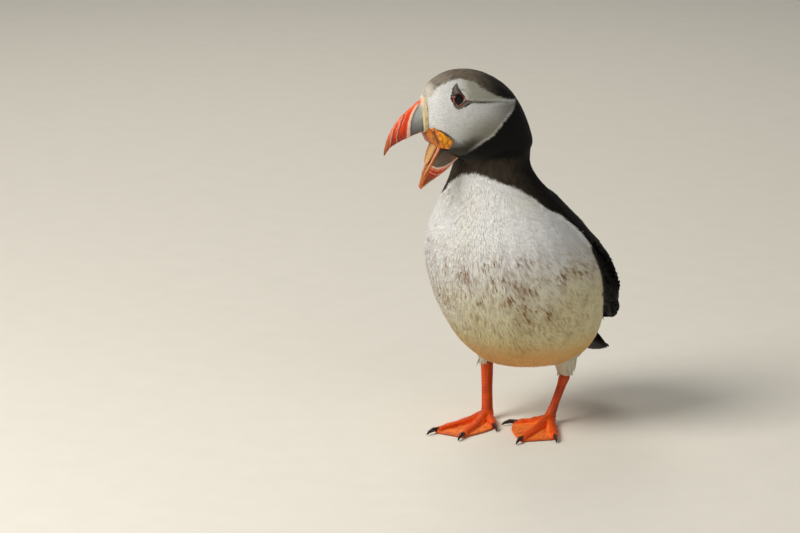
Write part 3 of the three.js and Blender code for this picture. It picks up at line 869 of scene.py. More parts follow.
def rod_mesh(name, rods, material, closed=False):
    """One mesh of rods, each made of rings of points. Open rods have their ends filled."""
    many, count, around = rods.shape[:3]
    row, spot = np.meshgrid(np.arange(count if closed else count - 1), np.arange(around), indexing="ij")
    here, there, ahead = row * around, (row + 1) % count * around, (spot + 1) % around
    quads = np.stack([here + spot, here + ahead, there + ahead, there + spot], axis=-1).reshape(-1, 4)
    faces = [quads[:, [0, 1, 2]], quads[:, [0, 2, 3]]]
    if not closed:
        fan = np.stack([np.zeros(around - 2, int), np.arange(2, around), np.arange(1, around - 1)], axis=1)
        faces += [fan, fan[:, [0, 2, 1]] + (count - 1) * around]
    each = np.concatenate(faces)[None] + count * around * np.arange(many)[:, None, None]
    piece = mesh_piece(name, rods.reshape(-1, 3), each.reshape(-1, 3), material)
    shell = bmesh.new()
    shell.from_mesh(piece.data)
    bmesh.ops.recalc_face_normals(shell, faces=shell.faces)
    shell.to_mesh(piece.data)
    shell.free()
    return piece


def pad_mesh(name, top, under, material):
    """A closed pad between two sheets of points."""
    return rod_mesh(name, np.concatenate([top, under[:, ::-1]], axis=1)[None], material)


def eye_rim(name, side):
    """The bare rim: a thin fleshy ring, thickest below the eye."""
    spots = curve_through(RIM_OUTLINE, RIM_STATIONS, closed=True)
    path, facing = set_on_face(spots, side)
    along = unit(np.roll(path, -1, axis=0) - np.roll(path, 1, axis=0))
    across = unit(np.cross(facing, along))
    thick = 0.36 + 0.2 * smooth_step(1, -2.5, spots[:, 1])
    piece = rod_mesh(
        f"eye_rim_{name}", tube(path, across * 0.9, facing, thick, RIM_AROUND)[None], lid_skin, closed=True
    )
    # Painted shade on the rim's top, under the plate above it, and on its inner side towards the eye.
    upper = smooth_step(1.2, 3.2, spots[:, 1])[:, None]
    turn = np.linspace(0, 2 * np.pi, RIM_AROUND, endpoint=False)
    inner = smooth_step(0.2, -0.9, np.cos(turn) * side) * 0.4 + 0 * upper
    paint(piece, layered(RIM_CORAL, (RIM_PAINTED_SHADE, upper), (RIM_PAINTED_SHADE, inner)))
    hand_over(piece, "rosette_skin")


def eye_plate(name, rows, side, rise):
    """A horny plate: a cushion of the given outline, highest along its middle, with a sunken underside."""
    edges = curve_through(rows, PLATE_STATIONS)
    share = np.linspace(0, 1, PLATE_ACROSS)
    front, middle, rear = (edges[:, column][:, None] for column in range(3))
    at = share[:, None]
    spots = front * (1 - at) * (1 - 2 * at) + middle * 4 * at * (1 - at) + rear * at * (2 * at - 1)
    places, facing = set_on_face(spots, side)
    arch = np.sin(np.pi * share) ** 0.55
    ends = np.sin(np.pi * np.linspace(0.04, 0.96, PLATE_STATIONS))[:, None] ** 0.4
    height = rise * arch * ends + 0.25
    piece = pad_mesh(name, places + facing * height[..., None], places - facing * PLATE_SUNK, plate_horn)
    # Painted shade at the plate's edges and on its underside, and a painted highlight along its crest.
    edge = smooth_step(0.25, 0.8, 1 - 4 * share * (1 - share))
    top = layered(PLATE_GREY, (PLATE_EDGE_SHADE, edge), (PLATE_CREST_HIGHLIGHT, line_at(share - 0.45, 0.13) * 0.55))
    ring = np.concatenate([top, np.tile(PLATE_EDGE_SHADE, (PLATE_ACROSS, 1))])
    paint(piece, np.tile(ring, (PLATE_STATIONS, 1)))
    hand_over(piece, "bill_horn")


lid_skin = skin_material("bare_lid_skin", 0.45, 0.6, 0.4, 0.1)
plate_horn = skin_material("horny_plate", 0.5, 0.5, 0.5)
for side_name, side in SIDES:
    eye_rim(side_name, side)
    eye_plate(f"upper_eye_plate_{side_name}", UPPER_PLATE, side, 0.75)
    eye_plate(f"lower_eye_plate_{side_name}", LOWER_PLATE, side, 0.65)

# ---- Bill ----------------------------------------------------------------------------------------------
# The breeding bill is a deep horny sheath over bone: a raised cream cere at the face, a blue-grey plate, a
# pale ridge and then red horn with grooves, which grow one by one with age. Each half is one hard piece.
BILL_VOXEL = 0.27
BILL_PASSES = 10
# How far ahead each line across the upper bill lies, at each height.
BILL_HEIGHTS = (174, 178, 182, 186, 190, 194, 198)
CERE_REAR = (26.2, 26.9, 27.5, 27.7, 27.7, 27.6, 26.8)
CERE_FRONT = (29.2, 29.8, 30.6, 31.3, 31.1, 29.9, 28.6)
PLATE_FRONT = (36.8, 37.9, 38.4, 37.7, 36.0, 33.0, 30.4)
RIDGE_FRONT = (39.3, 40.2, 40.1, 39.3, 37.3, 34.2, 31.4)
GROOVE_ONE = (44.8, 45.2, 44.3, 42.6, 40.0, 36.4, 33.0)
GROOVE_TWO = (48.7, 48.0, 46.6, 44.4, 41.6, 38.0, 34.0)
TIP_LINE = (50.4, 49.3, 48.0, 46.4, 44.4, 40.0, 36.0)
# The lower bill's cutting edge by height, and its lower edge and its plate's edge by how far ahead they lie.
LOWER_HEIGHTS = (148.6, 154.4, 159.2, 164.4, 169.8, 173)
LOWER_FRONT_EDGE = (31, 29.1, 26.6, 23.6, 20.6, 17)
LOWER_AHEAD = (3.5, 8, 13.5, 19, 24.6, 30)
GONYS_HEIGHT = (165.5, 162, 156.8, 153.2, 150, 146.6)
PLATE_EDGE_AHEAD = (8, 10, 12.1, 17.4, 21.8, 24.4, 27)
PLATE_EDGE_HEIGHT = (163.8, 162.5, 161.3, 159.4, 159.0, 160.2, 162)
LOWER_GROOVES = (2.9, 5.2)  # how far they lie below the plate
CERE_CREAM = linear("#dccca2")
CERE_BROWN = linear("#b49a68")
PLATE_BLUE = linear("#adafaa")
PLATE_SHADE = linear("#55555a")
LOWER_PLATE_GREY = linear("#6a6258")
LOWER_PLATE_BROWN = linear("#6b4a2c")
LOWER_PLATE_RUST = linear("#b06028")
EDGE_ORANGE = linear("#ec9a58")
RIDGE_PINK = linear("#efc9b4")
HORN_RED = linear("#e8481a")
HORN_ORANGE = linear("#f46a30")
HORN_SHADE_AND_STREAKS = linear("#7e2210")
HORN_TIP = linear("#945a38")
GROOVE_PALE = linear("#f3b49c")
GROOVE_SHADE = linear("#5e1c14")
LINE_DARK = linear("#231d1e")
MOUTH_ORANGE = linear("#e38a3a")


def band(start, end, value, soft):
    return smooth_step(start - soft, start + soft, value) * smooth_step(end + soft, end - soft, value)


def node_copy(name, node_names, voxel, passes, grow=0.05):
    """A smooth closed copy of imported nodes, ready to carve and paint, with its points and its normals."""
    piece = copy_of(name, *node_names, grow=grow)
    remesh(piece, voxel)
    relax(piece, passes)
    return piece, points_of(piece), normals_of(piece)


def horn_material(name, roughness, grain, coat_weight):
    """Keratin horn: a waxy gloss, with fine growth lines that run along the bill's bands."""
    along_bands = ({"Rotation": (0, math.radians(12), 0.52)}, {"Scale": (1, 1, 0.25)})
    noise = {"Detail": 5.0, "Roughness": 0.6}
    surface = waxy(roughness, coat_weight, 0.25, 0.05, 1.0, 0.4, 0.25)
    tones, relief = (0.3, 0.7, 0.84, 1.1), (0.35, 0.1)
    return painted_material(name, grain, noise, tones, relief, surface, along_bands)


def groove_coats(groove, on_side, lip, pale, width):
    """A groove's dark line of painted shade, and its pale lip a little further on."""
    yield GROOVE_PALE, line_at(groove - lip, 0.3) * on_side * pale
    yield GROOVE_SHADE, line_at(groove, width) * on_side * 0.7


def upper_bill():
    piece, points, facing = node_copy("upper_bill", ["bill_upper"], BILL_VOXEL, BILL_PASSES)
    ahead, out, height = in_head(points)

    def past(line):
        return (ahead - np.interp(height, BILL_HEIGHTS, line)) * 0.85

    past_cere, past_plate, past_ridge = past(CERE_FRONT), past(PLATE_FRONT), past(RIDGE_FRONT)
    cere = band(0.2, 2.5, past(CERE_REAR), 0.35) * smooth_step(1.6, 0.4, past_cere)
    plate = smooth_step(-0.2, 0.8, past_cere) * smooth_step(0.2, -1.2, past_plate)
    ridge = smooth_step(-0.5, 0.2, past_plate) * smooth_step(0.4, -0.4, past_ridge)
    grooves = [past(GROOVE_ONE), past(GROOVE_TWO)]
    on_side = smooth_step(0.6, 1.6, np.abs(out))
    on_red = smooth_step(0, 1, past_ridge)
    cut = sum(line_at(groove, 0.42) for groove in grooves) * on_side
    nostril = line_at(np.hypot((ahead - 33.2) / 2.6, (height - 179.3) / 0.42), 1.0) * on_side
    rise = 0.9 * cere - 0.28 * plate * on_side + 0.3 * ridge - 0.32 * cut - 0.35 * nostril
    rise += 0.05 * np.sin(past_ridge * 4.2) * on_red
    points = points + facing * rise[:, None]
    # The rear of the sheath is drawn back under the face feathers.
    points = points - HEAD_AHEAD * (1.6 * smooth_step(0.5, -0.8, past(CERE_REAR)))[:, None]
    put_points(piece, points)

    on_culmen = smooth_step(1.9, 0.5, np.abs(out)) * (facing @ UP > -0.1)
    under = smooth_step(-0.5, -0.9, facing @ UP) * smooth_step(3.0, 2.0, np.abs(out))
    streaks = smooth_step(0.55, 0.8, mottle(points * np.array([1.6, 1.6, 0.5]), 1.3, 31))
    red = layered(
        HORN_RED,
        (HORN_ORANGE, on_culmen),
        # Painted shade: the red darkens low on the sides, away from the culmen.
        (HORN_SHADE_AND_STREAKS, smooth_step(184, 174, height) * (1 - on_culmen) * 0.75),
        (HORN_TIP, smooth_step(-0.8, 1.2, past(TIP_LINE)) * 0.85),
        *groove_coats(grooves[0], on_side, 0.62, 0.75, 0.3),
        *groove_coats(grooves[1], on_side, 0.62, 0.75, 0.3),
        (HORN_SHADE_AND_STREAKS, streaks * 0.35 * on_red),
    )
    grey = layered(
        PLATE_BLUE,
        (PLATE_SHADE, smooth_step(191, 178, height) * 0.9),
        (RIDGE_PINK, smooth_step(192, 196, height) * 0.8),
    )
    dark_line = line_at(past_cere - 0.1, 0.28) * smooth_step(194, 184, height)
    colour = layered(
        CERE_CREAM,
        (CERE_BROWN, 0.55 * smooth_step(0.5, 0.85, mottle(points, 1.6, 33))),
        (grey, smooth_step(-0.15, 0.15, past_cere)),
        (LINE_DARK, dark_line * 0.9),
        (LINE_DARK, line_at(past_plate + 0.2, 0.22) * 0.35),
        (RIDGE_PINK, smooth_step(-0.1, 0.35, past_plate)),
        (red, smooth_step(-0.25, 0.25, past_ridge)),
        (red, on_culmen * smooth_step(29.5, 31.5, ahead)),
        # Painted shade in the nostril's slit.
        (LINE_DARK, nostril * 0.9),
        # The underside, in mouth orange darkened as painted shade.
        (MOUTH_ORANGE * 0.55, under * smooth_step(29, 31, ahead)),
    )
    paint(piece, colour)
    dress(piece, bill_horn)
    hand_over(piece, "bill_horn", "bill_upper")


def lower_bill():
    piece, points, facing = node_copy("lower_bill", ["bill_lower"], BILL_VOXEL, BILL_PASSES)
    ahead, out, height = in_head(points)
    below = height - np.interp(ahead, PLATE_EDGE_AHEAD, PLATE_EDGE_HEIGHT)
    in_edge = (np.interp(height, LOWER_HEIGHTS, LOWER_FRONT_EDGE) - ahead) * 0.87
    from_gonys = (height - np.interp(ahead, LOWER_AHEAD, GONYS_HEIGHT)) * 0.85
    on_side = smooth_step(0.5, 1.2, np.abs(out))
    grooves = [below + place for place in LOWER_GROOVES]
    cut = sum(line_at(groove, 0.4) for groove in grooves) * on_side
    ridge = band(-1.3, -0.1, below, 0.3)
    rise = -0.2 * smooth_step(-0.2, 0.8, below) * on_side + 0.25 * ridge - 0.3 * cut
    rise += 0.2 * line_at(in_edge - 0.4, 0.6)
    points = points + facing * rise[:, None]
    drawn_back = 1.4 * smooth_step(10, 5, ahead) * smooth_step(160, 164, height)
    points = points - HEAD_AHEAD * drawn_back[:, None]
    put_points(piece, points)

    red = layered(
        HORN_RED,
        # Painted shade: the red darkens towards the bottom edge, where darkened tip-brown lies along it.
        (HORN_SHADE_AND_STREAKS, smooth_step(-3, -6.5, below) * 0.5),
        (HORN_ORANGE, line_at(below + 1.9, 0.8) * 0.8),
        (HORN_TIP * 0.75, smooth_step(-6.2, -8.5, below) * 0.8),
        *groove_coats(grooves[0], on_side, 0.55, 0.7, 0.28),
        *groove_coats(grooves[1], on_side, 0.55, 0.7, 0.28),
        (HORN_SHADE_AND_STREAKS, smooth_step(0.55, 0.8, mottle(points, 1.1, 35)) * 0.35),
    )
    grey = layered(
        LOWER_PLATE_GREY,
        (LINE_DARK, smooth_step(160, 168, height) * 0.6),
        (LOWER_PLATE_BROWN, 0.55 * smooth_step(0.3, 0.8, mottle(points, 2.4, 37))),
        (LOWER_PLATE_RUST, smooth_step(14, 9, ahead) * 0.75),
    )
    edge = smooth_step(1.5, 0.9, in_edge)
    inner = smooth_step(0.35, 0.75, facing @ unit(HEAD_AHEAD * 0.87 + UP * 0.5))
    colour = layered(
        red,
        (RIDGE_PINK * 0.95, smooth_step(-1.35, -1.0, below)),
        (grey, smooth_step(-0.2, 0.15, below)),
        (CERE_CREAM * 0.9, smooth_step(1.3, 0.7, from_gonys) * smooth_step(8, 12, ahead)),
        (EDGE_ORANGE, edge * smooth_step(156, 160, height)),
        (HORN_ORANGE, edge * smooth_step(160, 156, height) * 0.8),
        # The inner side, in mouth orange darkened as painted shade.
        (MOUTH_ORANGE * 0.6, inner * smooth_step(3.6, 2.6, np.abs(out))),
    )
    paint(piece, colour)
    dress(piece, bill_horn)
    hand_over(piece, "bill_horn", "bill_lower")


bill_horn = horn_material("waxy_bill_horn", 0.42, 0.7, 0.05)
upper_bill()
lower_bill()

# ---- Gape: rosettes, mouth skin and tongue -------------------------------------------------------------
# Where the bill opens, soft skin stretches between its halves. In the breeding season it swells into an
# orange-yellow wrinkled rosette at each corner. Inside it, folds lead down to the lower bill and the tongue.
ROSETTE_ORANGE = linear("#ee8a06")
ROSETTE_YELLOW = linear("#f3a216")
ROSETTE_FOLD_SHADE = linear("#ac4c06")
GAPE_SHADE = linear("#4e160c")
MOUTH_DEEP = linear("#a04a18")
GAPE_PINK = linear("#eaa27a")
TONGUE_PALE = linear("#f6c283")
TONGUE_RED = linear("#cf7040")
SLIT_AHEAD = (24.0, 24.7, 26.1, 26.9)
SLIT_HEIGHT = (174, 176.2, 178.8, 180.9)
LINING_ACROSS = 61
LINING_ALONG = 41
LINING_REACH = 25
BAND_STATIONS = 48
BAND_AROUND = 14
# The gape band's path in the head's frame, on the left, and its thickness from end to end.
BAND_PATH = (
    (25.3, 5.0, 177.5), (22.2, 4.6, 173.6), (20.8, 3.3, 170.0),
    (23.5, 2.6, 164.4), (26.4, 2.4, 159.2), (28.9, 1.5, 154.6),
)
BAND_RADII = (0.9, 1.1, 1.0, 0.8, 0.6, 0.4)
BAND_FLATNESS = 0.75


def rosette(name, side):
    piece, points, facing = node_copy(f"rosette_{name}", [f"rosette_{name}"], 0.25, 8)
    ahead, _, height = in_head(points)
    centre = np.hypot(ahead - 20.5, height - 174.5)
    spread = np.arctan2(height - 174.5, ahead - 20.5)
    rays = 0.5 + 0.5 * np.sin(spread * 7 + centre * 0.7 + 3 * mottle(points, 4, 41))
    cushions = np.minimum(1, 2.4 * np.abs(mottle(points, 2.1, 43) - 0.5) * 2)
    outer = smooth_step(0.1, 0.6, facing @ HEAD_LEFT * side)
    off_centre = smooth_step(1, 4, centre)
    rise = outer * (0.45 * rays * off_centre + 0.4 * cushions - 0.35)
    points = points + facing * (0.25 + rise)[:, None]
    # The lobe's lower corner is drawn in, so that it hangs round.
    corner = np.maximum(0, np.hypot(ahead - 22.5, height - 175.2) - 3.4) * smooth_step(23, 20, ahead)
    inward = unit(from_head(22.5 - ahead, 0, 175.2 - height) - HEAD_PLUMB)
    points = points + inward * (0.42 * corner)[:, None]
    over_edge = np.maximum(0, height - 175.8 - 0.56 * (ahead - 15.6))
    points = points - UP * (0.85 * over_edge)[:, None]
    front = smooth_step(22, 29, ahead)[:, None]
    put_points(piece, points - front * (3.0 * side * HEAD_LEFT + 1.4 * HEAD_AHEAD))
    relax(piece, 2)
    from_slit = np.abs(ahead - np.interp(height, SLIT_HEIGHT, SLIT_AHEAD))
    slit = line_at(from_slit, 1.1) * smooth_step(182, 180.5, height)
    colour = layered(
        ROSETTE_ORANGE,
        (ROSETTE_YELLOW, smooth_step(0.35, 0.75, mottle(points, 2.6, 45))),
        # Painted shade in the hollows between the cushions and between the rays.
        (ROSETTE_FOLD_SHADE, (1 - cushions) * 0.75 * outer),
        (ROSETTE_FOLD_SHADE, smooth_step(0.4, 0.0, rays) * 0.35 * off_centre),
        # Painted shade along the slit where the mouth's corner opens.
        (GAPE_SHADE, slit * 0.9),
    )
    paint(piece, colour)
    dress(piece, gape_skin)
    hand_over(piece, "rosette_skin", f"rosette_{name}")


def gape_lining():
    """The skin that closes the mouth's corner, from one rosette across to the other."""
    across = np.linspace(-1, 1, LINING_ACROSS)[None, :]
    along = np.linspace(0, 1, LINING_ALONG)[:, None]
    level = from_head(
        GAPE_AHEAD - 8.5 * along, across * (8.0 - 2.8 * along), GAPE_HEIGHT - 9.0 * along
    )
    outward = unit(HEAD_AHEAD * 0.66 - UP * 0.75)
    found = cast_on_skin(level + outward * LINING_REACH, -outward)[0]
    found = np.where(np.isnan(found), level, found)
    wave = 0.45 * np.cos(across * 13 + 2 * along) * smooth_step(0.25, 0.6, np.abs(across))
    piece = pad_mesh(
        "gape_lining", found + outward * (1.1 + wave)[..., None], found - outward * 0.8, wet_mouth_skin
    )
    outwards = np.abs(across)
    colour = layered(
        MOUTH_DEEP,
        (MOUTH_ORANGE, smooth_step(0.35, 0.7, outwards + 0.12 * along)),
        # Painted shade: a dark line near each side of the lining.
        (GAPE_SHADE, line_at(outwards - 0.86 + 0.1 * along, 0.06) * 0.9),
    )
    paint(piece, np.concatenate([colour, colour[:, ::-1]], axis=1))
    hand_over(piece, "mouth_skin")


def gape_band(name, side):
    """A fleshy fold from the rosette down into the lower bill, rounded at both ends."""
    path = from_head(*curve_through(np.array(BAND_PATH) * (1, side, 1), BAND_STATIONS).T)
    share = np.linspace(0, 1, BAND_STATIONS)
    radius = np.interp(share, np.linspace(0, 1, len(BAND_RADII)), BAND_RADII)
    radius = radius * np.sin(np.pi * np.linspace(0.03, 0.97, BAND_STATIONS)) ** 0.25
    along = unit(np.gradient(path, axis=0))
    across = unit(np.cross(along, np.cross(HEAD_LEFT, along)))
    rings = tube(path, across, BAND_FLATNESS * np.cross(along, across), radius, BAND_AROUND)
    piece = rod_mesh(f"gape_band_{name}", rings[None], wet_mouth_skin)
    colour = blend(ROSETTE_ORANGE, GAPE_PINK, smooth_step(0.15, 0.45, share))
    paint(piece, np.repeat(colour, BAND_AROUND, axis=0))
    hand_over(piece, "mouth_skin")


def tongue():
    piece, points, facing = node_copy("tongue_flesh", ["tongue"], 0.3, 6)
    _, out, height = in_head(points)
    groove = line_at(out, 0.5)
    put_points(piece, points + facing * (0.5 - 0.35 * groove)[:, None])
    # Painted shade: the tongue darkens towards the throat.
    throat = smooth_step(170, 176, height)
    paint(piece, layered(TONGUE_PALE, (TONGUE_RED, groove * 0.7), (GAPE_SHADE, throat * 0.7)))
    dress(piece, wet_mouth_skin)
    hand_over(piece, "mouth_skin", "tongue")


gape_skin = skin_material("wrinkled_gape_skin", 0.42, 0.8, 0.7, 0.12)
wet_mouth_skin = skin_material("wet_mouth_skin", 0.42, 0.9, 0.4, 0.12)
for side_name, side in SIDES:
    rosette(side_name, side)
    gape_band(side_name, side)
gape_lining()
tongue()

# ---- Legs and feet -------------------------------------------------------------------------------------
# Orange-red skin over bone: broad scutes down the front of each shank and along the toes, small scales
# elsewhere, and a thin crinkled web between three toes. Shank and foot are one skin.
LEG_VOXEL = 0.42
SCUTE_STEP = 1.7
SCALE_STEP = 1.25
TOE_SCUTE_STEP = 1.55
KNUCKLES = (0.42, 0.7, 0.92)  # along each toe, as shares of its length
ANKLE_FOLDS = (0.03, -0.035)  # along each shank, as shares of its length
SOLE_HEIGHT = 0.6
FLOOR_GAP = 0.02
TOES = ("inner", "middle", "outer")
LEG_ORANGE = linear("#dc5206")
LEG_RED = linear("#b03002")
LEG_SHADE = linear("#682c06")
FOOT_ORANGE = linear("#f05816")
WEB_ORANGE = linear("#ff8434")
WEB_MARGIN = linear("#bc460e")
SCALE_EDGE = linear("#702406")
WAISTS = {"left": 0.74, "right": 0.96}  # each shank's breadth at its middle, as a share of the outline's


def leg(name):
    piece, points, facing = node_copy(f"leg_{name}", [f"shank_{name}", f"foot_{name}"], LEG_VOXEL, 7, 0.15)
    foot_end = end_of(f"shank_{name}", lowest=True, depth=2)
    body_end = end_of(f"shank_{name}", lowest=False, depth=2)
    share = (points[:, 2] - foot_end[2]) / (body_end[2] - foot_end[2])
    axis = foot_end + np.clip(share, 0, 1.2)[:, None] * (body_end - foot_end)
    away = points - axis
    on_shank = smooth_step(-0.05, 0.12, share)
    waist = np.interp(share, (0, 0.3, 0.65, 1), (0.97, WAISTS[name], WAISTS[name], 1))
    away[:, :2] *= (1 + on_shank * (waist - 1))[:, None]
    points = axis + away

    # The foot is measured by bearing and distance from the shank's lower end.
    reach = np.array([middle_of(f"claw_{name}_{toe}") - foot_end for toe in TOES])
    toe_angles = np.arctan2(reach[:, 0], -reach[:, 1])
    order = np.argsort(toe_angles)
    flat = points - foot_end
    distance = np.hypot(flat[:, 0], flat[:, 1])
    bearing = np.arctan2(flat[:, 0], -flat[:, 1])
    limit = np.interp(bearing, toe_angles[order], np.hypot(reach[:, 0], reach[:, 1])[order])
    from_toe = np.min([np.abs(np.sin(bearing - angle)) * distance for angle in toe_angles], axis=0)
    on_toe = smooth_step(2.6, 1.8, from_toe) * (1 - on_shank) * smooth_step(1.3, 2.0, points[:, 2])
    on_web = (1 - on_shank) * smooth_step(1.9, 2.6, from_toe) * smooth_step(3, 6, distance)

    around = np.arctan2(away[:, 0], -away[:, 1])
    front = smooth_step(1.15, 0.8, np.abs(around))
    rung = np.abs(np.sin(np.pi * points[:, 2] / SCUTE_STEP + 0.5 * np.sin(around * 2)))
    net = np.sin(np.pi * points[:, 2] / SCALE_STEP) * np.sin(np.pi * around * 3.4 / SCALE_STEP)
    scales = front * np.minimum(1, rung * 2.2) + (1 - front) * np.sqrt(np.abs(net))
    toe_rung = np.minimum(1, np.abs(np.sin(np.pi * distance / TOE_SCUTE_STEP)) * 2.2)
    knuckles = sum(line_at(distance - at * limit, 1.5) for at in KNUCKLES)
    crease = mottle(np.stack([bearing * 26, distance * 0.35, 0 * bearing], axis=1), 1.0, 51)
    rise = on_shank * 0.16 * (scales - 0.5) + on_toe * (0.2 + 0.13 * (toe_rung - 0.5) + 0.3 * knuckles)
    rise += on_web * 0.14 * (crease - 0.5) * (points[:, 2] > 0.9)
    rise += 0.3 * line_at(share + 0.02, 0.09) * (mottle(points, 1.6, 53) - 0.4)
    rise += 0.35 * sum(line_at(share - at, 0.022) for at in ANKLE_FOLDS)
    rise = np.where(points[:, 2] < SOLE_HEIGHT, 0, rise)
    points = points + facing * (rise - 0.12)[:, None]
    points[:, 2] = np.maximum(points[:, 2], FLOOR_GAP)
    put_points(piece, points)

    shank = layered(
        LEG_ORANGE,
        (LEG_RED, smooth_step(0.35, 0.7, mottle(points, 3.5, 55)) * 0.5),
        (LEG_SHADE, smooth_step(0.75, 1.1, share) * 0.7),
        (LEG_SHADE, smooth_step(0.4, 0.9, np.sin(around + 0.9)) * 0.25),
        (SCALE_EDGE, smooth_step(0.45, 0.1, scales) * 0.75),
    )
    web = layered(
        WEB_ORANGE,
        (WEB_MARGIN, smooth_step(0.45, 0.8, crease) * 0.55),
        (WEB_MARGIN, smooth_step(0.8, 1.0, distance / limit) * 0.8),
    )
    colour = layered(
        FOOT_ORANGE,
        (LEG_ORANGE, smooth_step(0.4, 0.8, mottle(points, 3.0, 57)) * 0.6),
        (SCALE_EDGE, smooth_step(0.5, 0.1, toe_rung) * on_toe * 0.5),
        (web, on_web),
        (shank, on_shank),
    )
    paint(piece, colour)
    dress(piece, leg_skin)
    hand_over(piece, "leg_skin", f"shank_{name}", f"foot_{name}")


leg_skin = skin_material("scaly_leg_skin", 0.5, 0.55, 0.45, 0.05)
for side_name, side in SIDES:
    leg(side_name)

# ---- Claws ---------------------------------------------------------------------------------------------
# Curved horn, for digging: near black, paler on top along the ridge and brownish where it leaves the toe.
CLAW_VOXEL = 0.16
CLAW_BLACK = linear("#231c19")
CLAW_BROWN = linear("#6e5140")
CLAW_PALE_TOP = linear("#5d564f")


def claw(side_name, toe):
    node = f"claw_{side_name}_{toe}"
    piece, points, facing = node_copy(f"horn_{node}", [node], CLAW_VOXEL, 5)
    joint = points_of(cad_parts[f"shank_{side_name}"])[:, :2].mean(axis=0)
    distance = np.hypot(*(points[:, :2] - joint).T)
    share = (distance - distance.min()) / np.ptp(distance)
    paler = smooth_step(0.75, 1, facing[:, 2]) * smooth_step(0.2, 0.6, share) * 0.6
    paint(piece, layered(CLAW_BROWN, (CLAW_BLACK, smooth_step(0.05, 0.4, share)), (CLAW_PALE_TOP, paler)))
    points[:, 2] = np.maximum(points[:, 2], FLOOR_GAP)
    put_points(piece, points)
    dress(piece, claw_horn)
    hand_over(piece, "claw_horn", node)


claw_horn = horn_material("dark_claw_horn", 0.34, 0.5, 0.2)
for side_name, side in SIDES:
    for toe in TOES:
        claw(side_name, toe)

# ---- Wings and tail ------------------------------------------------------------------------------------
# Folded flight feathers and their coverts: flat vanes on a shaft, laid like tiles from the shoulder to the
# wing's tip, each row over the roots of the next. Sixteen short tail feathers fan out the same way.
VANE_STATIONS = 13
VANE_SECTION = np.array([(-1, 0), (-0.55, 0.5), (0, 1), (0.55, 0.5), (1, 0), (0.5, -0.35), (-0.5, -0.35)])
VANE_TIP_BROWN = linear("#2a211c")
VANE_SHAFT = linear("#070606")
WING_TIP = np.array([13.0, 71.5, 51.5])
SCAPULAR_TIP = np.array([6.0, 74.0, 50.0])
# Each row: its front and back ends, how many vanes, their length and width, and how much they point down
# rather than at the tip.
WING_ROWS = (
    ((45, 20, 71), (20, 61, 61), 9, 22, 5.2, 0.0),
    ((47, 17, 75), (22, 58, 69), 10, 23, 5.8, 0.05),
    ((48, 15, 79), (25, 53, 80), 10, 22, 6.2, 0.2),
    ((48.5, 14, 83), (27, 49, 91), 10, 19, 6.6, 0.4),
    ((48.5, 13, 90), (28, 45, 101), 10, 17, 6.6, 0.5),
    ((47.5, 12.5, 98), (27, 41, 111), 10, 15, 6.4, 0.55),
    ((45.5, 12, 106), (25, 36, 121), 10, 13, 6.2, 0.65),
    ((42, 12, 113), (22, 32, 130), 9, 12, 6.0, 0.7),
)
SCAPULAR_ROWS = (
    ((17, 59, 77), (3, 62, 78), 5, 17, 6.0, 0.0),
    ((20, 53, 89), (3, 58, 91), 6, 18, 6.6, 0.1),
    ((22, 47, 101), (3, 53, 104), 6, 17, 7.0, 0.1),
    ((23, 40, 112), (3, 46, 117), 7, 16, 7.0, 0.2),
    ((23, 33, 123), (3, 38, 129), 7, 15, 6.8, 0.3),
    ((21, 26, 133), (3, 30, 139), 7, 14, 6.5, 0.4),
)
WING_RISE = 0.9
SCAPULAR_RISE = 1.2
WING_FREE_FROM = 1.0  # the share of its length at which a vane leaves the skin: these lie on it to the end
PRIMARY_FREE_FROM = 0.85
TAIL_FREE_FROM = 0.35
PRIMARY_COUNT = 8
PRIMARY_WIDTH = 5.0
PRIMARY_LENGTH = 68.0
PRIMARY_STEP = 4.2  # each primary ends this much short of the one below it
PRIMARY_ROOT = np.array([44.5, 21, 68])
TAIL_COUNT = 16
TAIL_WIDTH = 6.0


def vanes(name, roots, aims, lengths, widths, rise, free_from):
    """Overlapping vanes. Each lies along the skin from its root towards its aim, and may end free of it."""
    count = len(roots)
    share = np.linspace(0, 1, VANE_STATIONS)
    places, facing = nearest_on_skin(roots)
    way = aims - places
    stations = []
    for at in share:
        way = along_skin(way, facing)
        stations.append((places, facing, way))
        onward = places + way * (lengths / (VANE_STATIONS - 1))[:, None]
        laid, laid_facing = nearest_on_skin(onward)
        free = smooth_step(free_from, free_from + 0.2, at)
        places, facing = blend(laid, onward, free), unit(blend(laid_facing, facing, free))
    path, normals, ways = np.stack(stations, axis=2)
    across = np.cross(normals, ways)
    widths, rise = (np.broadcast_to(value, count)[:, None, None, None] for value in (widths, rise))
    half = np.interp(share, (0, 0.12, 0.5, 0.8, 0.93, 1), (0.25, 0.7, 1, 0.92, 0.6, 0.08))
    half = half[:, None, None] * widths / 2
    lift = np.interp(share, (0, 0.15, 1), (-0.5, 0.6, 1))[:, None, None] * rise
    thick = 0.2 + 0.2 * widths / 6
    side_part, top_part = VANE_SECTION[:, :1], VANE_SECTION[:, 1:]
    rods = path[:, :, None] + across[:, :, None] * side_part * half
    piece = rod_mesh(name, rods + normals[:, :, None] * (lift + top_part * thick), flight_feather)
    tone = rng.uniform(0.8, 1.15, (count, 1, 1, 1))
    edge = np.abs(VANE_SECTION[:, 0])
    faded = smooth_step(0.75, 1, share)[:, None] * 0.5 + smooth_step(0.6, 1, edge) * 0.35
    shaft = (edge < 0.1) * 0.7 + 0 * faded
    paint(piece, layered(BLACK_PLUMAGE * tone, (VANE_TIP_BROWN, faded), (VANE_SHAFT, shaft)))
    flat = np.stack(np.broadcast_arrays(VANE_SECTION[:, 0] / 2, share[:, None] - 0.5), axis=-1)
    lay_out(piece, roots, TRUNK_MIDDLE, flat.reshape(-1, 2))
    hand_over(piece, "black_plumage")


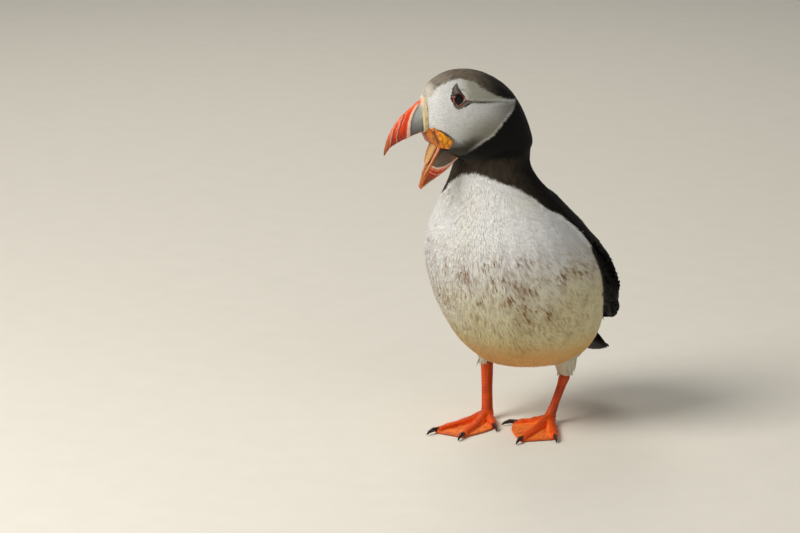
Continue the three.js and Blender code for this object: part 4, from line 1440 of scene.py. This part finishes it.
def mirrored(points, side):
    """Places given for the bird's left, on the side that is wanted."""
    return points * np.array([side, 1, 1])


def feather_rows(rows, side, tip):
    """Roots, aims, lengths and widths of all the vanes in some rows, each a little irregular."""
    made = []
    for row, (front, back, count, length, width, down) in enumerate(rows):
        for share in (np.arange(count) + 0.5 * (row % 2)) / (count - 0.5):
            root = np.array(front) * (1 - share) + np.array(back) * share + rng.normal(0, 1.0, 3)
            aim = blend(tip, root - UP * 40, down)
            lengths, widths = length * rng.uniform(0.85, 1.12), width * rng.uniform(0.92, 1.08)
            made.append((mirrored(root, side), mirrored(aim, side), lengths, widths))
    return [np.array(column) for column in zip(*made)]


flight_feather = plumage_material("flight_feather_vane", 0.55, 0.35, 0.12)
order = np.arange(PRIMARY_COUNT)
for side_name, side in SIDES:
    rows = feather_rows(WING_ROWS, side, WING_TIP)
    vanes(f"coat_wing_{side_name}", *rows, WING_RISE, WING_FREE_FROM)
    rows = feather_rows(SCAPULAR_ROWS, side, SCAPULAR_TIP)
    vanes(f"coat_scapulars_{side_name}", *rows, SCAPULAR_RISE, WING_FREE_FROM)
    roots = mirrored(PRIMARY_ROOT + order[:, None] * np.array([0.2, 0.4, 0.9]), side)
    aims = mirrored(WING_TIP + order[:, None] * np.array([0.3, 0.2, 1.1]), side)
    lengths, rise = PRIMARY_LENGTH - PRIMARY_STEP * order, 0.8 + 0.1 * order
    vanes(f"coat_primaries_{side_name}", roots, aims, lengths, PRIMARY_WIDTH, rise, PRIMARY_FREE_FROM)

spread = np.linspace(-1, 1, TAIL_COUNT)
outer = np.abs(spread)
for name, root_at, root_arch, aim_at, aim_arch, length, rise in (
    ("coat_tail", (9, 55, 58), -5, 34, -2, 33 - 4 * outer, 2.2 - 1.2 * outer),
    ("coat_under_tail", (8, 58, 34), 2, 25, 2, 25 - 3 * outer, 1.6 - 0.8 * outer),
):
    breadth, back, height = root_at
    roots = np.stack([spread * breadth, back + 0 * spread, height + root_arch * spread**2], axis=1)
    aims = np.stack([spread * 15.5, 84 - 4 * outer, aim_at + aim_arch * spread**2], axis=1)
    vanes(name, roots, aims, length, TAIL_WIDTH, rise, TAIL_FREE_FROM)
